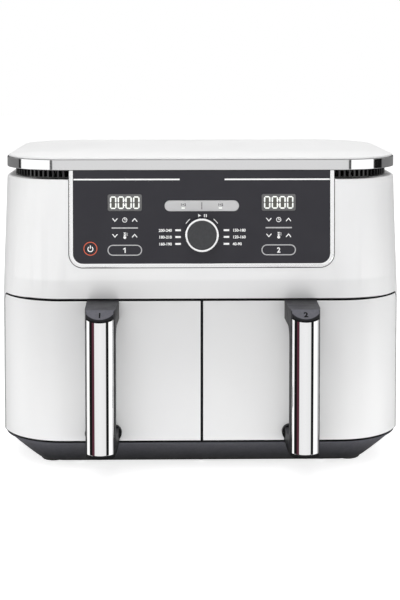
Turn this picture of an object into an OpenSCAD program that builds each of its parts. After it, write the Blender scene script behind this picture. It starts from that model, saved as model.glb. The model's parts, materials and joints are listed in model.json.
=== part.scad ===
// Twin-drawer air fryer: a moulded housing on a tapered base, two pull-out drawers with
// baskets and crisper plates, and a heater, fan and motor above each cooking chamber.
// Frame: +X to the right, -Y to the front, +Z up, millimetres. The origin is the centre of
// the whole appliance's outline at table height, so the handles reach as far forward as
// the exhaust grilles reach back.

/* [Body] */
// Width across the drawer fronts
body_w = 416; // [402:1:440]
// Depth from the drawer fronts to the rear wall
body_d = 270; // [264:1:285]
// Plan radius of the four vertical corners
corner_r = 68; // [62:1:69]
// Thickness of the moulded walls
wall = 2.6; // [2.2:0.1:3]
// How far the housing leans in from the drawers to its shoulder
draft_in = 5; // [2:0.5:6]
// Height of the white shoulder above the table
shoulder_z = 301; // [299:1:310]
// Radius along the shoulder's edge
shoulder_r = 2.5; // [1.5:0.5:3.5]

/* [Base] */
// Height of the tapered base above its underside
base_h = 29; // [27:1:34]
// How far the base tapers in towards its underside
base_in = 33; // [30:1:36]
// How far the base's curve bulges past a straight taper
base_bulge = 0.5; // [0.4:0.1:3]
// Height of the rubber feet
foot_h = 5; // [4:0.5:7]
// Radius of the rubber feet
foot_r = 14; // [11:1:15]
// Distance of each foot's centre from the side of the body
foot_inset = 53; // [52:1:58]

/* [Crown] */
// Height of the air intake under the trim band
neck_h = 9; // [8:0.5:12]
// How far the air intake is set back under the trim band
neck_in = 9; // [7:0.5:10]
// Height of the metal trim band
band_h = 12; // [9:0.5:14]
// Thickness of the metal trim band
band_t = 1.2; // [0.8:0.1:1.6]
// Rise of the domed top cover above the trim band
crown_rise = 4; // [3:0.5:6]
// Distance from one intake fin to the next
fin_pitch = 5.3; // [5:0.1:6]
// Thickness of an intake fin
fin_t = 1.8; // [1.4:0.1:2.2]
// Depth of an intake fin
fin_d = 5; // [4:0.5:6]

/* [Control panel] */
// Distance from the side of the body to the panel's bezel
panel_side = 74.5; // [72:0.5:79]
// Height of the bezel's lower edge above the drawer seam
panel_v0 = 32; // [29:0.5:34]
// Width of the bezel's visible frame
bezel_w = 4; // [3:0.5:5]
// Outer radius of the bezel's lower corners
panel_r = 14; // [12:1:16]
// Thickness of the panel lens
lens_t = 2; // [1.6:0.1:2.4]
// Height of the dial's centre above the drawer seam
dial_v = 65.5; // [63:0.5:68]
// Outer radius of the dial
dial_r = 16.75; // [15:0.25:18]
// How far the dial stands out of the panel
dial_out = 12; // [10:1:15]
// Push travel of the dial
dial_push = 1.2; // [0.8:0.1:1.3]
// Length of the two-way rocker key
rocker_w = 74.8; // [70:0.2:80]
// Height of the rocker key
rocker_h = 10.7; // [9:0.1:12]
// Height of the rocker's centre above the drawer seam
rocker_v = 94.1; // [92:0.1:96]
// Width of a display window
display_w = 34.4; // [30:0.2:38]
// Height of a display window
display_h = 17; // [14:0.5:18]
// Distance from the side of the panel to the middle of a display
display_side = 56; // [52:0.5:59]
// Height of the displays' centre above the drawer seam
display_v = 97.4; // [94:0.2:100]

/* [Drawers] */
// Height of a drawer front
drawer_h = 144; // [141:1:147]
// Depth of a drawer front's moulded edges
drawer_d = 13; // [12:0.5:14]
// Gap round the drawer fronts
seam_gap = 1.2; // [0.8:0.1:1.6]
// How far a drawer front wraps round to the side of the body
wrap_d = 46.5; // [44:0.5:54]
// Radius of the drawer front's upper rear corner
hook_r = 9; // [6:1:11]

/* [Handles] */
// Distance of each handle from the centre of the body
handle_x = 99.5; // [95:0.5:104]
// Width of the polished cover on the grip
handle_w = 26.2; // [24:0.2:29]
// How much wider the arms are at the drawer than the polished cover
handle_flare = 6; // [4:0.5:8]
// How far the handle stands out of the drawer
handle_out = 60; // [54:1:66]
// Depth of the grip from front to back
grip_d = 16; // [14:1:19]
// Rise of the grip's rounded front
grip_crown = 6; // [5:0.5:8]
// Height of the handle's upper arm
arm_h = 19; // [16:1:22]
// Thickness of the polished handle cover
cover_t = 1.2; // [0.8:0.1:1.6]

/* [Baskets] */
// Distance from the middle of the body to a basket's rim
basket_middle = 9; // [8.5:0.5:12]
// Distance from the side of the body to a basket's rim
basket_side = 30.5; // [29.5:0.5:34]
// Room between a basket's rim and the rear wall of its liner
basket_rear = 7.2; // [5:0.1:14]
// Distance from the top of a drawer front down to its basket's rim
basket_drop = 15.8; // [14:0.2:22]
// Thickness of a basket's wall
basket_t = 1.5; // [1.2:0.1:2]
// Plan radius of a basket's corners
basket_r = 30; // [28:1:34]
// Radius between a basket's floor and its walls
basket_floor_r = 7; // [5:1:10]
// Width of the rim round the top of a basket
rim_w = 3; // [2:0.5:3.5]
// Height of the crisper plate above the basket's floor
plate_rise = 15; // [12:1:20]
// Radius of the crisper plate's holes
plate_hole_r = 4; // [3:0.5:5]
// Distance between the crisper plate's holes
plate_pitch = 15; // [14:0.5:18]

/* [Chambers] */
// Thickness of the sheet steel liners
liner_t = 1; // [0.8:0.1:1.2]
// Clearance between a basket's rim and the liner
liner_gap = 2; // [1.5:0.1:2.2]
// Distance from the liners' rear wall to the back of the body
liner_rear = 27.8; // [25:0.1:30]
// How far the square fan shroud is set in from the sides of the liner
shroud_in = 9; // [8:0.5:12]
// Height of the fan shroud
shroud_h = 50; // [48:1:54]
// Plan radius of the fan shroud's corners
shroud_r = 40; // [34:1:44]
// Distance from the side of the shroud to the air opening
throat_in = 12; // [10:1:14]
// Distance from the edge of the air opening to the hot air fan
fan_in = 6; // [4:0.5:10]
// Number of blades on the hot air fan
fan_blades = 12; // [8:1:14]
// Radius of the heating element's tube
heater_tube_r = 3.2; // [2.6:0.1:3.6]
// Distance from the edge of the air opening to the heating element's outer turn
heater_in = 4; // [3.5:0.5:7]
// Radius of the motor
motor_r = 26; // [23:1:30]
// Height of the motor
motor_h = 36; // [32:1:38]
// Radius of the motor shaft
shaft_r = 3; // [2.5:0.1:3.5]
// How far the exhaust duct is set in from the sides of the shroud
exhaust_in = 30; // [28:1:36]
// Height of the exhaust opening
exhaust_h = 32; // [26:1:34]
// How far the exhaust grilles stand out behind the body
rear_out = 6; // [5:0.5:8]

/* [Cord gland] */
// Radius of the hole for the mains cord
gland_r = 3.6; // [3.2:0.1:4.2]
// Height of the cord gland above the table
gland_z = 60; // [50:1:80]

/* [Hidden] */
$fn = 96;
fine_fn = 256;

// Clearances
fit = 0.2;         // between pieces that drop into each other
run = 0.3;         // between soft or sliding pieces and what carries them
shaft_gap = 0.05;  // round a turning shaft or pin
cut = 1;           // how far a cutting shape runs past what it cuts

// Places along the depth
depth_all = handle_out + body_d + rear_out;
front_y = -depth_all / 2 + handle_out;
rear_y = front_y + body_d;
mid_y = (front_y + rear_y) / 2;
wrap_y = front_y + wrap_d;

// Heights
base_top = foot_h + base_h;
base_gap = 0.8;
floor_t = wall;
drawer_z0 = base_top + base_gap;
drawer_z1 = drawer_z0 + drawer_h;
seam_z = drawer_z1 + seam_gap;
neck_z1 = shoulder_z + neck_h;
band_z1 = neck_z1 + band_h;

// Lean of the housing's walls
lean = atan(draft_in / (shoulder_z - seam_z));

// Insets from the widest outline
frame_in = drawer_d + 1;
frame_t = 2.2;
liner_in = frame_in + frame_t;
ledge_in = liner_in + 0.8;
neck_inset = draft_in + neck_in;
flange_in = neck_inset + fin_d;
panel_w = body_w - 2 * panel_side;
display_x = panel_w / 2 - display_side;

// Baskets and chambers
basket_z0 = base_top + 5;
basket_w = body_w / 2 - basket_middle - basket_side - 2 * rim_w;
basket_x = basket_middle + rim_w + basket_w / 2;
rim_half = basket_w / 2 + rim_w;
liner_half = rim_half + liner_gap;
liner_z0 = base_top + 1;
liner_y0 = front_y + liner_in;
liner_l = body_d - liner_in - liner_rear;
basket_l = body_d - drawer_d - liner_rear - liner_t - rim_w - basket_rear;
basket_y = front_y + drawer_d + basket_l / 2;
basket_h = drawer_z1 - basket_drop - basket_z0;
opening_half = liner_half - 0.5;
opening_z0 = liner_z0 + 1.5;
opening_z1 = basket_z0 + basket_h + 6;
plate_z = basket_z0 + basket_t + plate_rise;
plate_t = 1.5;
roof_z = seam_z;
shroud_z1 = roof_z + shroud_h;
shroud_w = 2 * (liner_half + liner_t - shroud_in);
throat_r = shroud_w / 2 - throat_in;
exhaust_w = shroud_w - 2 * exhaust_in;
motor_z0 = shroud_z1 + 8;
motor_z1 = motor_z0 + motor_h;

// Parts of the control panel, as depths behind its face
panel_v1 = neck_z1 - seam_z - 0.25;
carrier_t = 2;
carrier_y = lens_t;
board_y = 14;
board_t = 1.6;
bezel_proud = 0.8;
rocker_axis_y = 6.5;
rocker_pin_r = 1.2;
dial_gap = dial_push + 0.4;

white = [0.93, 0.93, 0.93];
charcoal = [0.2, 0.2, 0.21];
black = [0.06, 0.06, 0.065];
polished = [0.82, 0.82, 0.84];
steel = [0.7, 0.7, 0.71];
graphite = [0.24, 0.24, 0.26];
board_green = [0.1, 0.35, 0.2];

// ---------- outlines ----------

// A quarter of a disc, in the first quadrant.
module quarter(r) {
    intersection() {
        circle(r);
        square(r);
    }
}

// A rectangle with round corners, centred on the origin.
module round_rect(w, d, r) {
    square([w, d - 2 * r], center = true);
    for (s = [-1, 1])
        translate([0, s * (d - r) / 2])
            square([w - 2 * r, r], center = true);
    for (i = [0:3])
        rotate(90 * i)
            translate(i % 2 == 0 ? [w / 2 - r, d / 2 - r] : [d / 2 - r, w / 2 - r])
                quarter(r);
}

// A bar with half-round ends, centred on the origin.
module pill(w, h) {
    square([w - h, h], center = true);
    for (s = [-1, 1])
        translate([s * (w - h) / 2, 0])
            intersection() {
                circle(h / 2);
                translate([s > 0 ? 0 : -h, -h / 2])
                    square(h);
            }
}

// A block from [0, 0] to [w, h] with its corner at the origin rounded.
module corner_block(w, h, r) {
    translate([r, 0])
        square([w - r, h]);
    translate([0, r])
        square([r, h - r]);
    translate([r, r])
        rotate(180)
            quarter(r);
}

// ---------- sweeps ----------

// Sweeps a profile, drawn as (inset, height), round a rectangle with round corners.
module sweep_round(w, d, r) {
    hx = w / 2 - r;
    hy = d / 2 - r;
    for (i = [0:3]) {
        off = i % 2 == 0 ? hx : hy;
        half = i % 2 == 0 ? hy : hx;
        rotate([0, 0, 90 * i])
            translate([off, half, 0]) {
                rotate_extrude(angle = 90)
                    translate([r, 0])
                        mirror([1, 0, 0])
                            children();
                rotate([90, 0, 0])
                    linear_extrude(2 * half)
                        translate([r, 0])
                            mirror([1, 0, 0])
                                children();
            }
    }
}

// The same sweep round the body's widest outline.
module around_body() {
    translate([0, mid_y, 0])
        sweep_round(body_w, body_d, corner_r)
            children();
}

// The block inside the corner centres of the body's outline.
module body_core(z0, z1) {
    translate([-body_w / 2 + corner_r, front_y + corner_r, z0])
        cube([body_w - 2 * corner_r, body_d - 2 * corner_r, z1 - z0]);
}

// The body's outline, set in by some distance, as a prism.
module body_prism(inset, z0, z1) {
    translate([0, mid_y, z0])
        linear_extrude(z1 - z0)
            round_rect(body_w - 2 * inset, body_d - 2 * inset, corner_r - inset);
}

// Extrudes a profile drawn as (Y, Z) along X.
module along_x(x0, x1) {
    translate([x0, 0, 0])
        rotate([90, 0, 90])
            linear_extrude(x1 - x0)
                children();
}

// Puts its children on the sloping front face: X across, Z up from the seam, Y inwards.
module on_front() {
    translate([0, front_y, seam_z])
        rotate([-lean, 0, 0])
            children();
}

// Puts its children on the sloping rear face: Z up from the seam, Y outwards.
module on_rear() {
    translate([0, rear_y, seam_z])
        rotate([lean, 0, 0])
            children();
}

// Stands a profile drawn as (X, Z) between two depths on a face.
module slab(y0, y1) {
    translate([0, y1, 0])
        rotate([90, 0, 0])
            linear_extrude(y1 - y0)
                children();
}

// A round bar or bore along Y.
module rod_y(r, y0, y1) {
    translate([0, y1, 0])
        rotate([90, 0, 0])
            cylinder(r = r, h = y1 - y0);
}

// Copies the right-hand piece to the chosen side.
module on_side(side) {
    mirror([side < 0 ? 1 : 0, 0, 0])
        children();
}

// ---------- housing ----------

// Section of the upper wall: a leaning wall between a ledge and the rolled shoulder.
module upper_wall_section() {
    lean_to = (shoulder_z - shoulder_r - seam_z) / (shoulder_z - seam_z) * draft_in;
    edge = [for (a = [180:-15:90])
        [draft_in + shoulder_r + shoulder_r * cos(a), shoulder_z - shoulder_r + shoulder_r * sin(a)]];
    polygon(concat(
        [[0, seam_z], [lean_to, shoulder_z - shoulder_r - 0.01]],
        edge,
        [[flange_in, shoulder_z], [flange_in, shoulder_z - wall],
         [draft_in + wall, shoulder_z - wall], [wall, seam_z + wall],
         [ledge_in, seam_z + wall], [ledge_in, seam_z]]));
}

// Side view of the room that a drawer front fills, with its upper rear corner rounded.
module bay_side(y1, z0, z1, r) {
    translate([front_y - cut, z0])
        square([y1 - r - front_y + cut, z1 - z0]);
    translate([y1 - r, z0])
        square([r, z1 - r - z0]);
    translate([y1 - r, z1 - r])
        quarter(r);
}

// Outline of the control panel on the front face, set in by some distance.
module panel_outline(inset, top) {
    w = panel_w - 2 * inset;
    r = panel_r - inset;
    translate([0, panel_v0 + inset]) {
        translate([-w / 2, r])
            square([w, top - panel_v0 - inset - r]);
        translate([-w / 2 + r, 0])
            square([w - 2 * r, r]);
        for (s = [-1, 1])
            translate([s * (w / 2 - r), r])
                rotate(s > 0 ? 270 : 180)
                    quarter(r);
    }
}

module housing_shell() {
    color(white)
        difference() {
            union() {
                around_body()
                    upper_wall_section();
                difference() {
                    around_body()
                        translate([0, base_top])
                            square([wall, seam_z - base_top]);
                    along_x(-body_w / 2 - cut, body_w / 2 + cut)
                        bay_side(wrap_y + seam_gap, base_top - cut, seam_z, hook_r + seam_gap);
                }
            }
            on_front()
                slab(-2 * cut, flange_in + cut)
                    panel_outline(-fit / 2, panel_v1 + neck_h);
            for (s = [-1, 1])
                on_side(s)
                    on_rear()
                        translate([basket_x, 0, exhaust_v])
                            slab(-wall - 2 * cut, 2 * cut)
                                round_rect(exhaust_w + 2 * spigot_t + fit,
                                           exhaust_h + 2 * spigot_t + fit, 4);
            translate([0, rear_y, gland_z])
                rod_y(gland_body_r + fit / 2, -wall - cut, cut);
        }
}

// Circle that the base's outer curve follows, through its upper and lower edges.
base_edge = 0.8;
base_run = [base_in - base_edge, base_h];
base_chord = norm(base_run);
base_curve_r = (base_chord * base_chord / 4 + base_bulge * base_bulge) / (2 * base_bulge);
base_curve_c = [(base_in + base_edge) / 2, foot_h + base_h / 2]
    + [base_run[1], base_run[0]] / base_chord * (base_curve_r - base_bulge);
plate_edge = base_in + 4;
deck_in = ledge_in + 3;
lip_z = foot_h + floor_t + fit;

// Section of the base: curved skirt, deck under the drawers, and lip over the bottom plate.
module base_section() {
    difference() {
        intersection() {
            translate(base_curve_c)
                circle(base_curve_r, $fn = fine_fn);
            translate([0, foot_h])
                square([plate_edge, base_h]);
        }
        intersection() {
            translate(base_curve_c)
                circle(base_curve_r - wall, $fn = fine_fn);
            translate([0, lip_z + wall])
                square([plate_edge + cut, base_h]);
        }
    }
    translate([plate_edge, lip_z])
        square([10, wall]);
    translate([base_edge + wall / 2, base_top - wall])
        square([deck_in - base_edge - wall / 2, wall]);
}

// Places of the screws that hold the bottom plate to the skirt's lip.
screw_x = body_w / 2 - plate_edge - 5;
screw_y = body_d / 2 - plate_edge - 5;
screw_places = [for (x = [-1, 0, 1], y = [-1, 1]) [x * (screw_x - 40), mid_y + y * screw_y]];
screw_r = 1.8;

module base_skirt() {
    color(charcoal)
        difference() {
            around_body()
                base_section();
            for (p = screw_places)
                translate([p[0], p[1], lip_z - cut])
                    cylinder(r = screw_r + shaft_gap, h = wall + 2 * cut);
        }
}

// Bottom plate with the ribs that carry the two chambers.
rib_t = 3;
rib_side = basket_w / 2 - 21;
rib_l = basket_l - 68;
foot_back = 6;
foot_places = [for (x = [-1, 1], y = [-1, 1])
    [x * (body_w / 2 - foot_inset), mid_y + y * (body_d / 2 - foot_inset - foot_back)]];

module bottom_plate() {
    inset = plate_edge + fit;
    color(black)
        difference() {
            union() {
                body_prism(inset, foot_h, foot_h + floor_t);
                for (s = [-1, 1], side = [-1, 1])
                    translate([s * (basket_x + side * rib_side) - rib_t / 2, mid_y - rib_l / 2, foot_h])
                        cube([rib_t, rib_l, liner_z0 - foot_h]);
            }
            for (p = screw_places)
                translate([p[0], p[1], foot_h - cut])
                    cylinder(r = screw_r + fit, h = floor_t + 2 * cut);
        }
}

module rubber_feet() {
    edge = 3;
    color(black)
        for (p = foot_places)
            translate([p[0], p[1], 0])
                rotate_extrude()
                    intersection() {
                        translate([foot_r, 0])
                            mirror([1, 0, 0])
                                corner_block(foot_r, foot_h, edge);
                        square([foot_r, foot_h]);
                    }
}

module base_screws() {
    color(steel)
        for (p = screw_places)
            translate([p[0], p[1], foot_h - 2]) {
                cylinder(r = 3.6, h = 2);
                cylinder(r = screw_r, h = 2 + floor_t + fit + wall);
            }
}

// Frame behind the drawer fronts, with an opening for each basket.
module bay_frame() {
    color(charcoal)
        difference() {
            union() {
                intersection() {
                    around_body()
                        translate([frame_in, base_top])
                            square([frame_t, seam_z - base_top]);
                    along_x(-body_w / 2, body_w / 2)
                        translate([front_y, base_top])
                            square([wrap_d + 6, seam_z - base_top]);
                }
                intersection() {
                    around_body()
                        translate([wall + fit / 2, base_top])
                            square([frame_in + frame_t / 2 - wall, seam_z - base_top]);
                    along_x(-body_w / 2, body_w / 2)
                        translate([wrap_y + 3.8, base_top])
                            square([frame_t, seam_z - base_top]);
                }
            }
            for (s = [-1, 1])
                on_side(s)
                    translate([basket_x, front_y, (opening_z0 + opening_z1) / 2])
                        slab(0, corner_r)
                            round_rect(2 * opening_half, opening_z1 - opening_z0, 10);
        }
}

// ---------- crown ----------

module trim_band() {
    color(polished)
        around_body() {
            translate([draft_in, neck_z1])
                square([band_t, band_h]);
            translate([draft_in, neck_z1])
                square([flange_in - draft_in, band_t]);
        }
}

cover_in = draft_in + band_t + fit;
cover_edge_r = 2.4;
cover_edge_z = band_z1 + 1;
dome_reach = corner_r - cover_in;
dome_drop = crown_rise - 1 + 0.3;
dome_r = (dome_reach * dome_reach + dome_drop * dome_drop) / (2 * dome_drop);
cover_top = band_z1 + crown_rise;

// Outer shape of the top cover's edge, down to the band's flange.
module cover_outer() {
    intersection() {
        translate([corner_r, cover_top - dome_r])
            circle(dome_r, $fn = fine_fn);
        translate([cover_in, neck_z1 + band_t])
            translate([0, cover_top + cut - neck_z1 - band_t])
                mirror([0, 1, 0])
                    translate([0, cover_top + cut - cover_edge_z - cover_edge_r / 2])
                        corner_block(corner_r - cover_in,
                                     cover_edge_z + cover_edge_r / 2 - neck_z1 - band_t,
                                     cover_edge_r);
        translate([0, neck_z1 + band_t])
            square([corner_r, band_h + crown_rise]);
    }
}

module top_cover() {
    color(white) {
        around_body()
            difference() {
                union() {
                    cover_outer();
                    intersection() {
                        translate([corner_r, cover_top - dome_r])
                            circle(dome_r, $fn = fine_fn);
                        translate([cover_in + cover_edge_r, band_z1])
                            square([corner_r - cover_in - cover_edge_r, crown_rise + cut]);
                    }
                }
                translate([cover_in + wall, neck_z1])
                    square([corner_r, cover_edge_z - neck_z1 - wall]);
            }
        body_core(cover_edge_z - wall, cover_top);
    }
}

// One intake fin, standing out along +X from the neck's inner line.
module intake_fin() {
    translate([0, -fin_t / 2, 0])
        cube([fin_d, fin_t, neck_h]);
}

// Fins and rails of the right-hand half of the air intake.
module vent_grille() {
    hx = body_w / 2 - corner_r;
    hy = body_d / 2 - corner_r;
    inner_r = corner_r - flange_in;
    outer_r = corner_r - neck_inset;
    rail = 1.2;
    bezel_side = panel_w / 2 + fit;
    corner_steps = round(outer_r * PI / 2 / fin_pitch);
    side_steps = round(2 * hy / fin_pitch);
    intersection() {
        union() {
            around_body()
                for (z = [shoulder_z, neck_z1 - rail])
                    translate([neck_inset, z])
                        square([fin_d, rail]);
            translate([0, mid_y, shoulder_z]) {
                for (t = [0:side_steps])
                    translate([hx + inner_r, -hy + 2 * hy * t / side_steps, 0])
                        intake_fin();
                for (s = [-1, 1], t = [1:corner_steps])
                    translate([hx, s * hy, 0])
                        rotate([0, 0, s * 90 * t / corner_steps])
                            translate([inner_r, 0, 0])
                                intake_fin();
                for (t = [1:floor((hx - bezel_side - fin_t) / fin_pitch)])
                    translate([hx - t * fin_pitch, -hy - inner_r, 0])
                        rotate([0, 0, -90])
                            intake_fin();
                for (t = [1:floor((hx - fin_t) / fin_pitch)])
                    translate([hx - t * fin_pitch, hy + inner_r, 0])
                        rotate([0, 0, 90])
                            intake_fin();
            }
        }
        union() {
            translate([bezel_side, front_y, shoulder_z])
                cube([body_w / 2, body_d / 2, neck_h]);
            translate([fit / 2, mid_y, shoulder_z])
                cube([body_w / 2, body_d / 2, neck_h]);
        }
    }
}

module vent_grille_side(side) {
    color(black)
        on_side(side)
            vent_grille();
}

// ---------- control panel ----------

module panel_bezel() {
    flange_y = wall + 0.1;
    flange_top = shoulder_z - wall - seam_z - 3;
    color(polished)
        on_front()
            difference() {
                union() {
                    slab(-bezel_proud, carrier_y + carrier_t)
                        panel_outline(0, panel_v1);
                    slab(flange_y, flange_y + 2)
                        panel_outline(-3, flange_top);
                }
                slab(-2 * cut, board_y)
                    panel_outline(bezel_w, panel_v1 + cut);
            }
}

module display_hole(grow) {
    for (s = [-1, 1])
        translate([s * display_x, display_v])
            round_rect(display_w + grow, display_h + grow, 2);
}

module panel_lens() {
    color(graphite)
        on_front()
            slab(0, lens_t)
                difference() {
                    panel_outline(bezel_w + fit / 2, panel_v1);
                    display_hole(fit);
                    translate([0, rocker_v])
                        pill(rocker_w + 2 * run, rocker_h + 2 * run);
                    translate([0, dial_v])
                        circle(shaft_r + 1);
                }
}

// Tray behind the lens: it carries the board, and two ears hold the rocker's pin.
module panel_carrier() {
    ear_z = rocker_h / 2 - 2;
    ear_t = 1.4;
    posts = [for (x = [-1, 1], v = [panel_v0 + 14, panel_v1 - 12]) [x * (panel_w / 2 - 20), v]];
    color(charcoal)
        on_front() {
            slab(carrier_y, carrier_y + carrier_t)
                difference() {
                    panel_outline(bezel_w + fit / 2, panel_v1);
                    display_hole(-4);
                    translate([0, rocker_v])
                        pill(rocker_w + 2, rocker_h + 2);
                    translate([0, dial_v])
                        circle(shaft_r + 2);
                }
            for (p = posts)
                translate([p[0], 0, p[1]])
                    rod_y(3, carrier_y + carrier_t, board_y);
            translate([0, 0, rocker_v]) {
                for (s = [-1, 1]) {
                    translate([-4, carrier_y + carrier_t, s * (rocker_h / 2 + 2.5) - 1.5])
                        cube([8, 6, 3]);
                    difference() {
                        translate([-3, rocker_axis_y - 2, s * (ear_z + ear_t / 2) - ear_t / 2])
                            cube([6, 4, ear_t]);
                        translate([0, rocker_axis_y, -rocker_h])
                            cylinder(r = rocker_pin_r + shaft_gap, h = 2 * rocker_h);
                    }
                }
                translate([-4, rocker_axis_y + 2, -rocker_h / 2 - 4])
                    cube([8, 1.5, rocker_h + 8]);
            }
        }
}

module display_side(side) {
    color([0.36, 0.36, 0.37])
        on_front()
            translate([side * display_x, 0, display_v]) {
                slab(0, lens_t)
                    round_rect(display_w, display_h, 2);
                slab(lens_t, board_y)
                    round_rect(display_w - 4 - 2 * fit, display_h - 4 - 2 * fit, 1);
            }
}

board_side = 15;
board_end = 8;
module control_board() {
    color(board_green)
        on_front() {
            slab(board_y, board_y + board_t)
                translate([0, (panel_v0 + panel_v1) / 2])
                    square([panel_w - 2 * board_side, panel_v1 - panel_v0 - 2 * board_end], center = true);
            for (s = [-1, 1])
                translate([s * rocker_w * 0.38, 0, rocker_v]) {
                    translate([-3, board_y - 4, -3])
                        cube([6, 4, 6]);
                    rod_y(1.6, board_y - 6, board_y - 4);
                }
        }
}

encoder_y = 6.5;
module encoder_body() {
    color(steel)
        on_front()
            translate([0, 0, dial_v])
                difference() {
                    union() {
                        translate([-6, encoder_y, -6])
                            cube([12, board_y - encoder_y, 12]);
                        rod_y(shaft_r + 1.5, carrier_y + fit, encoder_y);
                    }
                    rod_y(shaft_r + shaft_gap, 0, board_y + cut);
                }
}

// ---------- dial and rocker ----------

ring_t = 2.1;
ring_d = 3.6;
shaft_back = 9;

module dial_knob() {
    core_r = dial_r - ring_t;
    color(graphite)
        on_front()
            translate([0, 0, dial_v])
                rotate([-90, 0, 0])
                    difference() {
                        union() {
                            translate([0, 0, -dial_out + ring_d])
                                cylinder(r = dial_r - 0.7, h = dial_out - ring_d - dial_gap);
                            translate([0, 0, -dial_out + 0.8])
                                cylinder(r = core_r, h = ring_d);
                        }
                        translate([0, 0, -dial_out + 3])
                            cylinder(r = shaft_r + 0.02, h = dial_out);
                        for (a = [0:10:350])
                            rotate([0, 0, a])
                                translate([dial_r - 0.5, 0, -dial_out + ring_d + 1])
                                    cylinder(r = 0.6, h = dial_out);
                    }
}

module dial_ring() {
    color(polished)
        on_front()
            translate([0, 0, dial_v])
                rotate([-90, 0, 0])
                    translate([0, 0, -dial_out])
                        rotate_extrude()
                            translate([dial_r - ring_t + 0.02, 0])
                                difference() {
                                    square([ring_t - 0.02, ring_d]);
                                    translate([ring_t - 0.6, -0.1])
                                        rotate(-45)
                                            square(1.2);
                                }
}

module dial_shaft() {
    color(steel)
        on_front()
            translate([0, 0, dial_v])
                rod_y(shaft_r, -dial_out + 3, shaft_back);
}

module dial_plunger() {
    color(black)
        on_front()
            translate([0, 0, dial_v])
                rod_y(shaft_r - 0.05, shaft_back, board_y - dial_push - 0.1);
}

module mode_rocker() {
    plate_y = 2;
    stem = 4;
    nub_y = board_y - 6 - 1;
    color([0.82, 0.82, 0.83])
        on_front()
            translate([0, 0, rocker_v]) {
                slab(-0.7, plate_y)
                    pill(rocker_w, rocker_h);
                translate([-stem / 2, plate_y, -stem / 2])
                    cube([stem, rocker_axis_y - plate_y, stem]);
                translate([0, rocker_axis_y, -rocker_h / 2 + 0.4])
                    cylinder(r = rocker_pin_r, h = rocker_h - 0.8);
                for (s = [-1, 1])
                    translate([s * rocker_w * 0.38, 0, 0])
                        rod_y(1.6, plate_y, nub_y);
            }
}

// ---------- chambers ----------

exhaust_v = 25;
spigot_t = 1.6;
sensor_z = roof_z - 6;
runner_w = 8;
runner_in = 20;
runner_x = basket_w / 2 - 31;

// Deep liner of a chamber, cut to the curve of the front frame.
module chamber_liner() {
    zc = (liner_z0 + roof_z) / 2;
    h = roof_z - liner_z0;
    runner = basket_z0 - liner_z0 - liner_t - run;
    difference() {
        intersection() {
            translate([basket_x, 0, zc])
                slab(liner_y0, liner_y0 + liner_l)
                    round_rect(2 * (liner_half + liner_t), h, 12);
            body_prism(liner_in, 0, roof_z + cut);
        }
        intersection() {
            translate([basket_x, 0, zc])
                slab(front_y, liner_y0 + liner_l - liner_t)
                    round_rect(2 * liner_half, h - 2 * liner_t, 11);
            body_prism(liner_in - cut, 0, roof_z + cut);
        }
        translate([basket_x, mid_y, roof_z - 2 * cut])
            cylinder(r = throat_r, h = 4 * cut);
        translate([basket_x, liner_y0 + liner_l, sensor_z])
            rod_y(probe_r + run, -2 * cut, cut);
    }
    for (s = [-1, 1])
        translate([basket_x + s * runner_x - runner_w / 2, liner_y0 + runner_in, liner_z0 + liner_t / 2])
            cube([runner_w, liner_l - 2 * runner_in, runner + liner_t / 2]);
}

module chamber_liner_side(side) {
    color(steel)
        on_side(side)
            chamber_liner();
}

heater_z = roof_z + 14;
heater_r = throat_r - heater_in;
bend_r = 7;
turn_r = [heater_r, heater_r - 2 * bend_r];
lead_a = [-68, -82];
lead_end = shroud_w / 2 + 14;

// Casing over the fan, with its exhaust duct and the motor's standoffs.
module air_shroud() {
    duct_z = seam_z + exhaust_v - exhaust_h / 2;
    duct_end = rear_y - wall - 3;
    translate([basket_x, mid_y, 0]) {
        difference() {
            union() {
                translate([0, 0, roof_z])
                    linear_extrude(shroud_h)
                        round_rect(shroud_w, shroud_w, shroud_r);
                translate([-exhaust_w / 2, 0, duct_z])
                    cube([exhaust_w, duct_end - mid_y, exhaust_h]);
            }
            translate([0, 0, roof_z - cut])
                linear_extrude(shroud_h + cut - liner_t)
                    round_rect(shroud_w - 2 * liner_t, shroud_w - 2 * liner_t, shroud_r - liner_t);
            translate([-exhaust_w / 2 + liner_t, 0, duct_z + liner_t])
                cube([exhaust_w - 2 * liner_t, body_d, exhaust_h - 2 * liner_t]);
            cylinder(r = shaft_r + 2, h = shroud_z1 + cut);
            for (a = lead_a)
                heater_lead(a, shroud_w / 2 - 4, lead_end + cut, heater_tube_r + run);
        }
        difference() {
            union() {
                for (a = [45:90:315])
                    rotate([0, 0, a])
                        translate([motor_r - 5, 0, shroud_z1 - liner_t / 2])
                            cylinder(r = 3, h = motor_z0 - shroud_z1 - 1);
                translate([0, 0, motor_z0 - 1.6])
                    cylinder(r = motor_r, h = 1.6);
            }
            translate([0, 0, shroud_z1])
                cylinder(r = shaft_r + 2, h = motor_z0 - shroud_z1 + cut);
        }
    }
}

module air_shroud_side(side) {
    color(steel)
        on_side(side)
            air_shroud();
}

// An arc of the heating tube, centred on the fan's axis.
module tube_arc(r, a0, a1) {
    rotate([0, 0, a0])
        rotate_extrude(angle = a1 - a0)
            translate([r, 0])
                circle(heater_tube_r, $fn = 48);
}

// A straight length along a ray from the fan's axis, at the height of the element.
module heater_lead(a, r0, r1, r) {
    translate([0, 0, heater_z])
        rotate([0, 0, a])
            translate([r0, 0, 0])
                rotate([0, 90, 0])
                    cylinder(r = r, h = r1 - r0);
}

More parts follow.
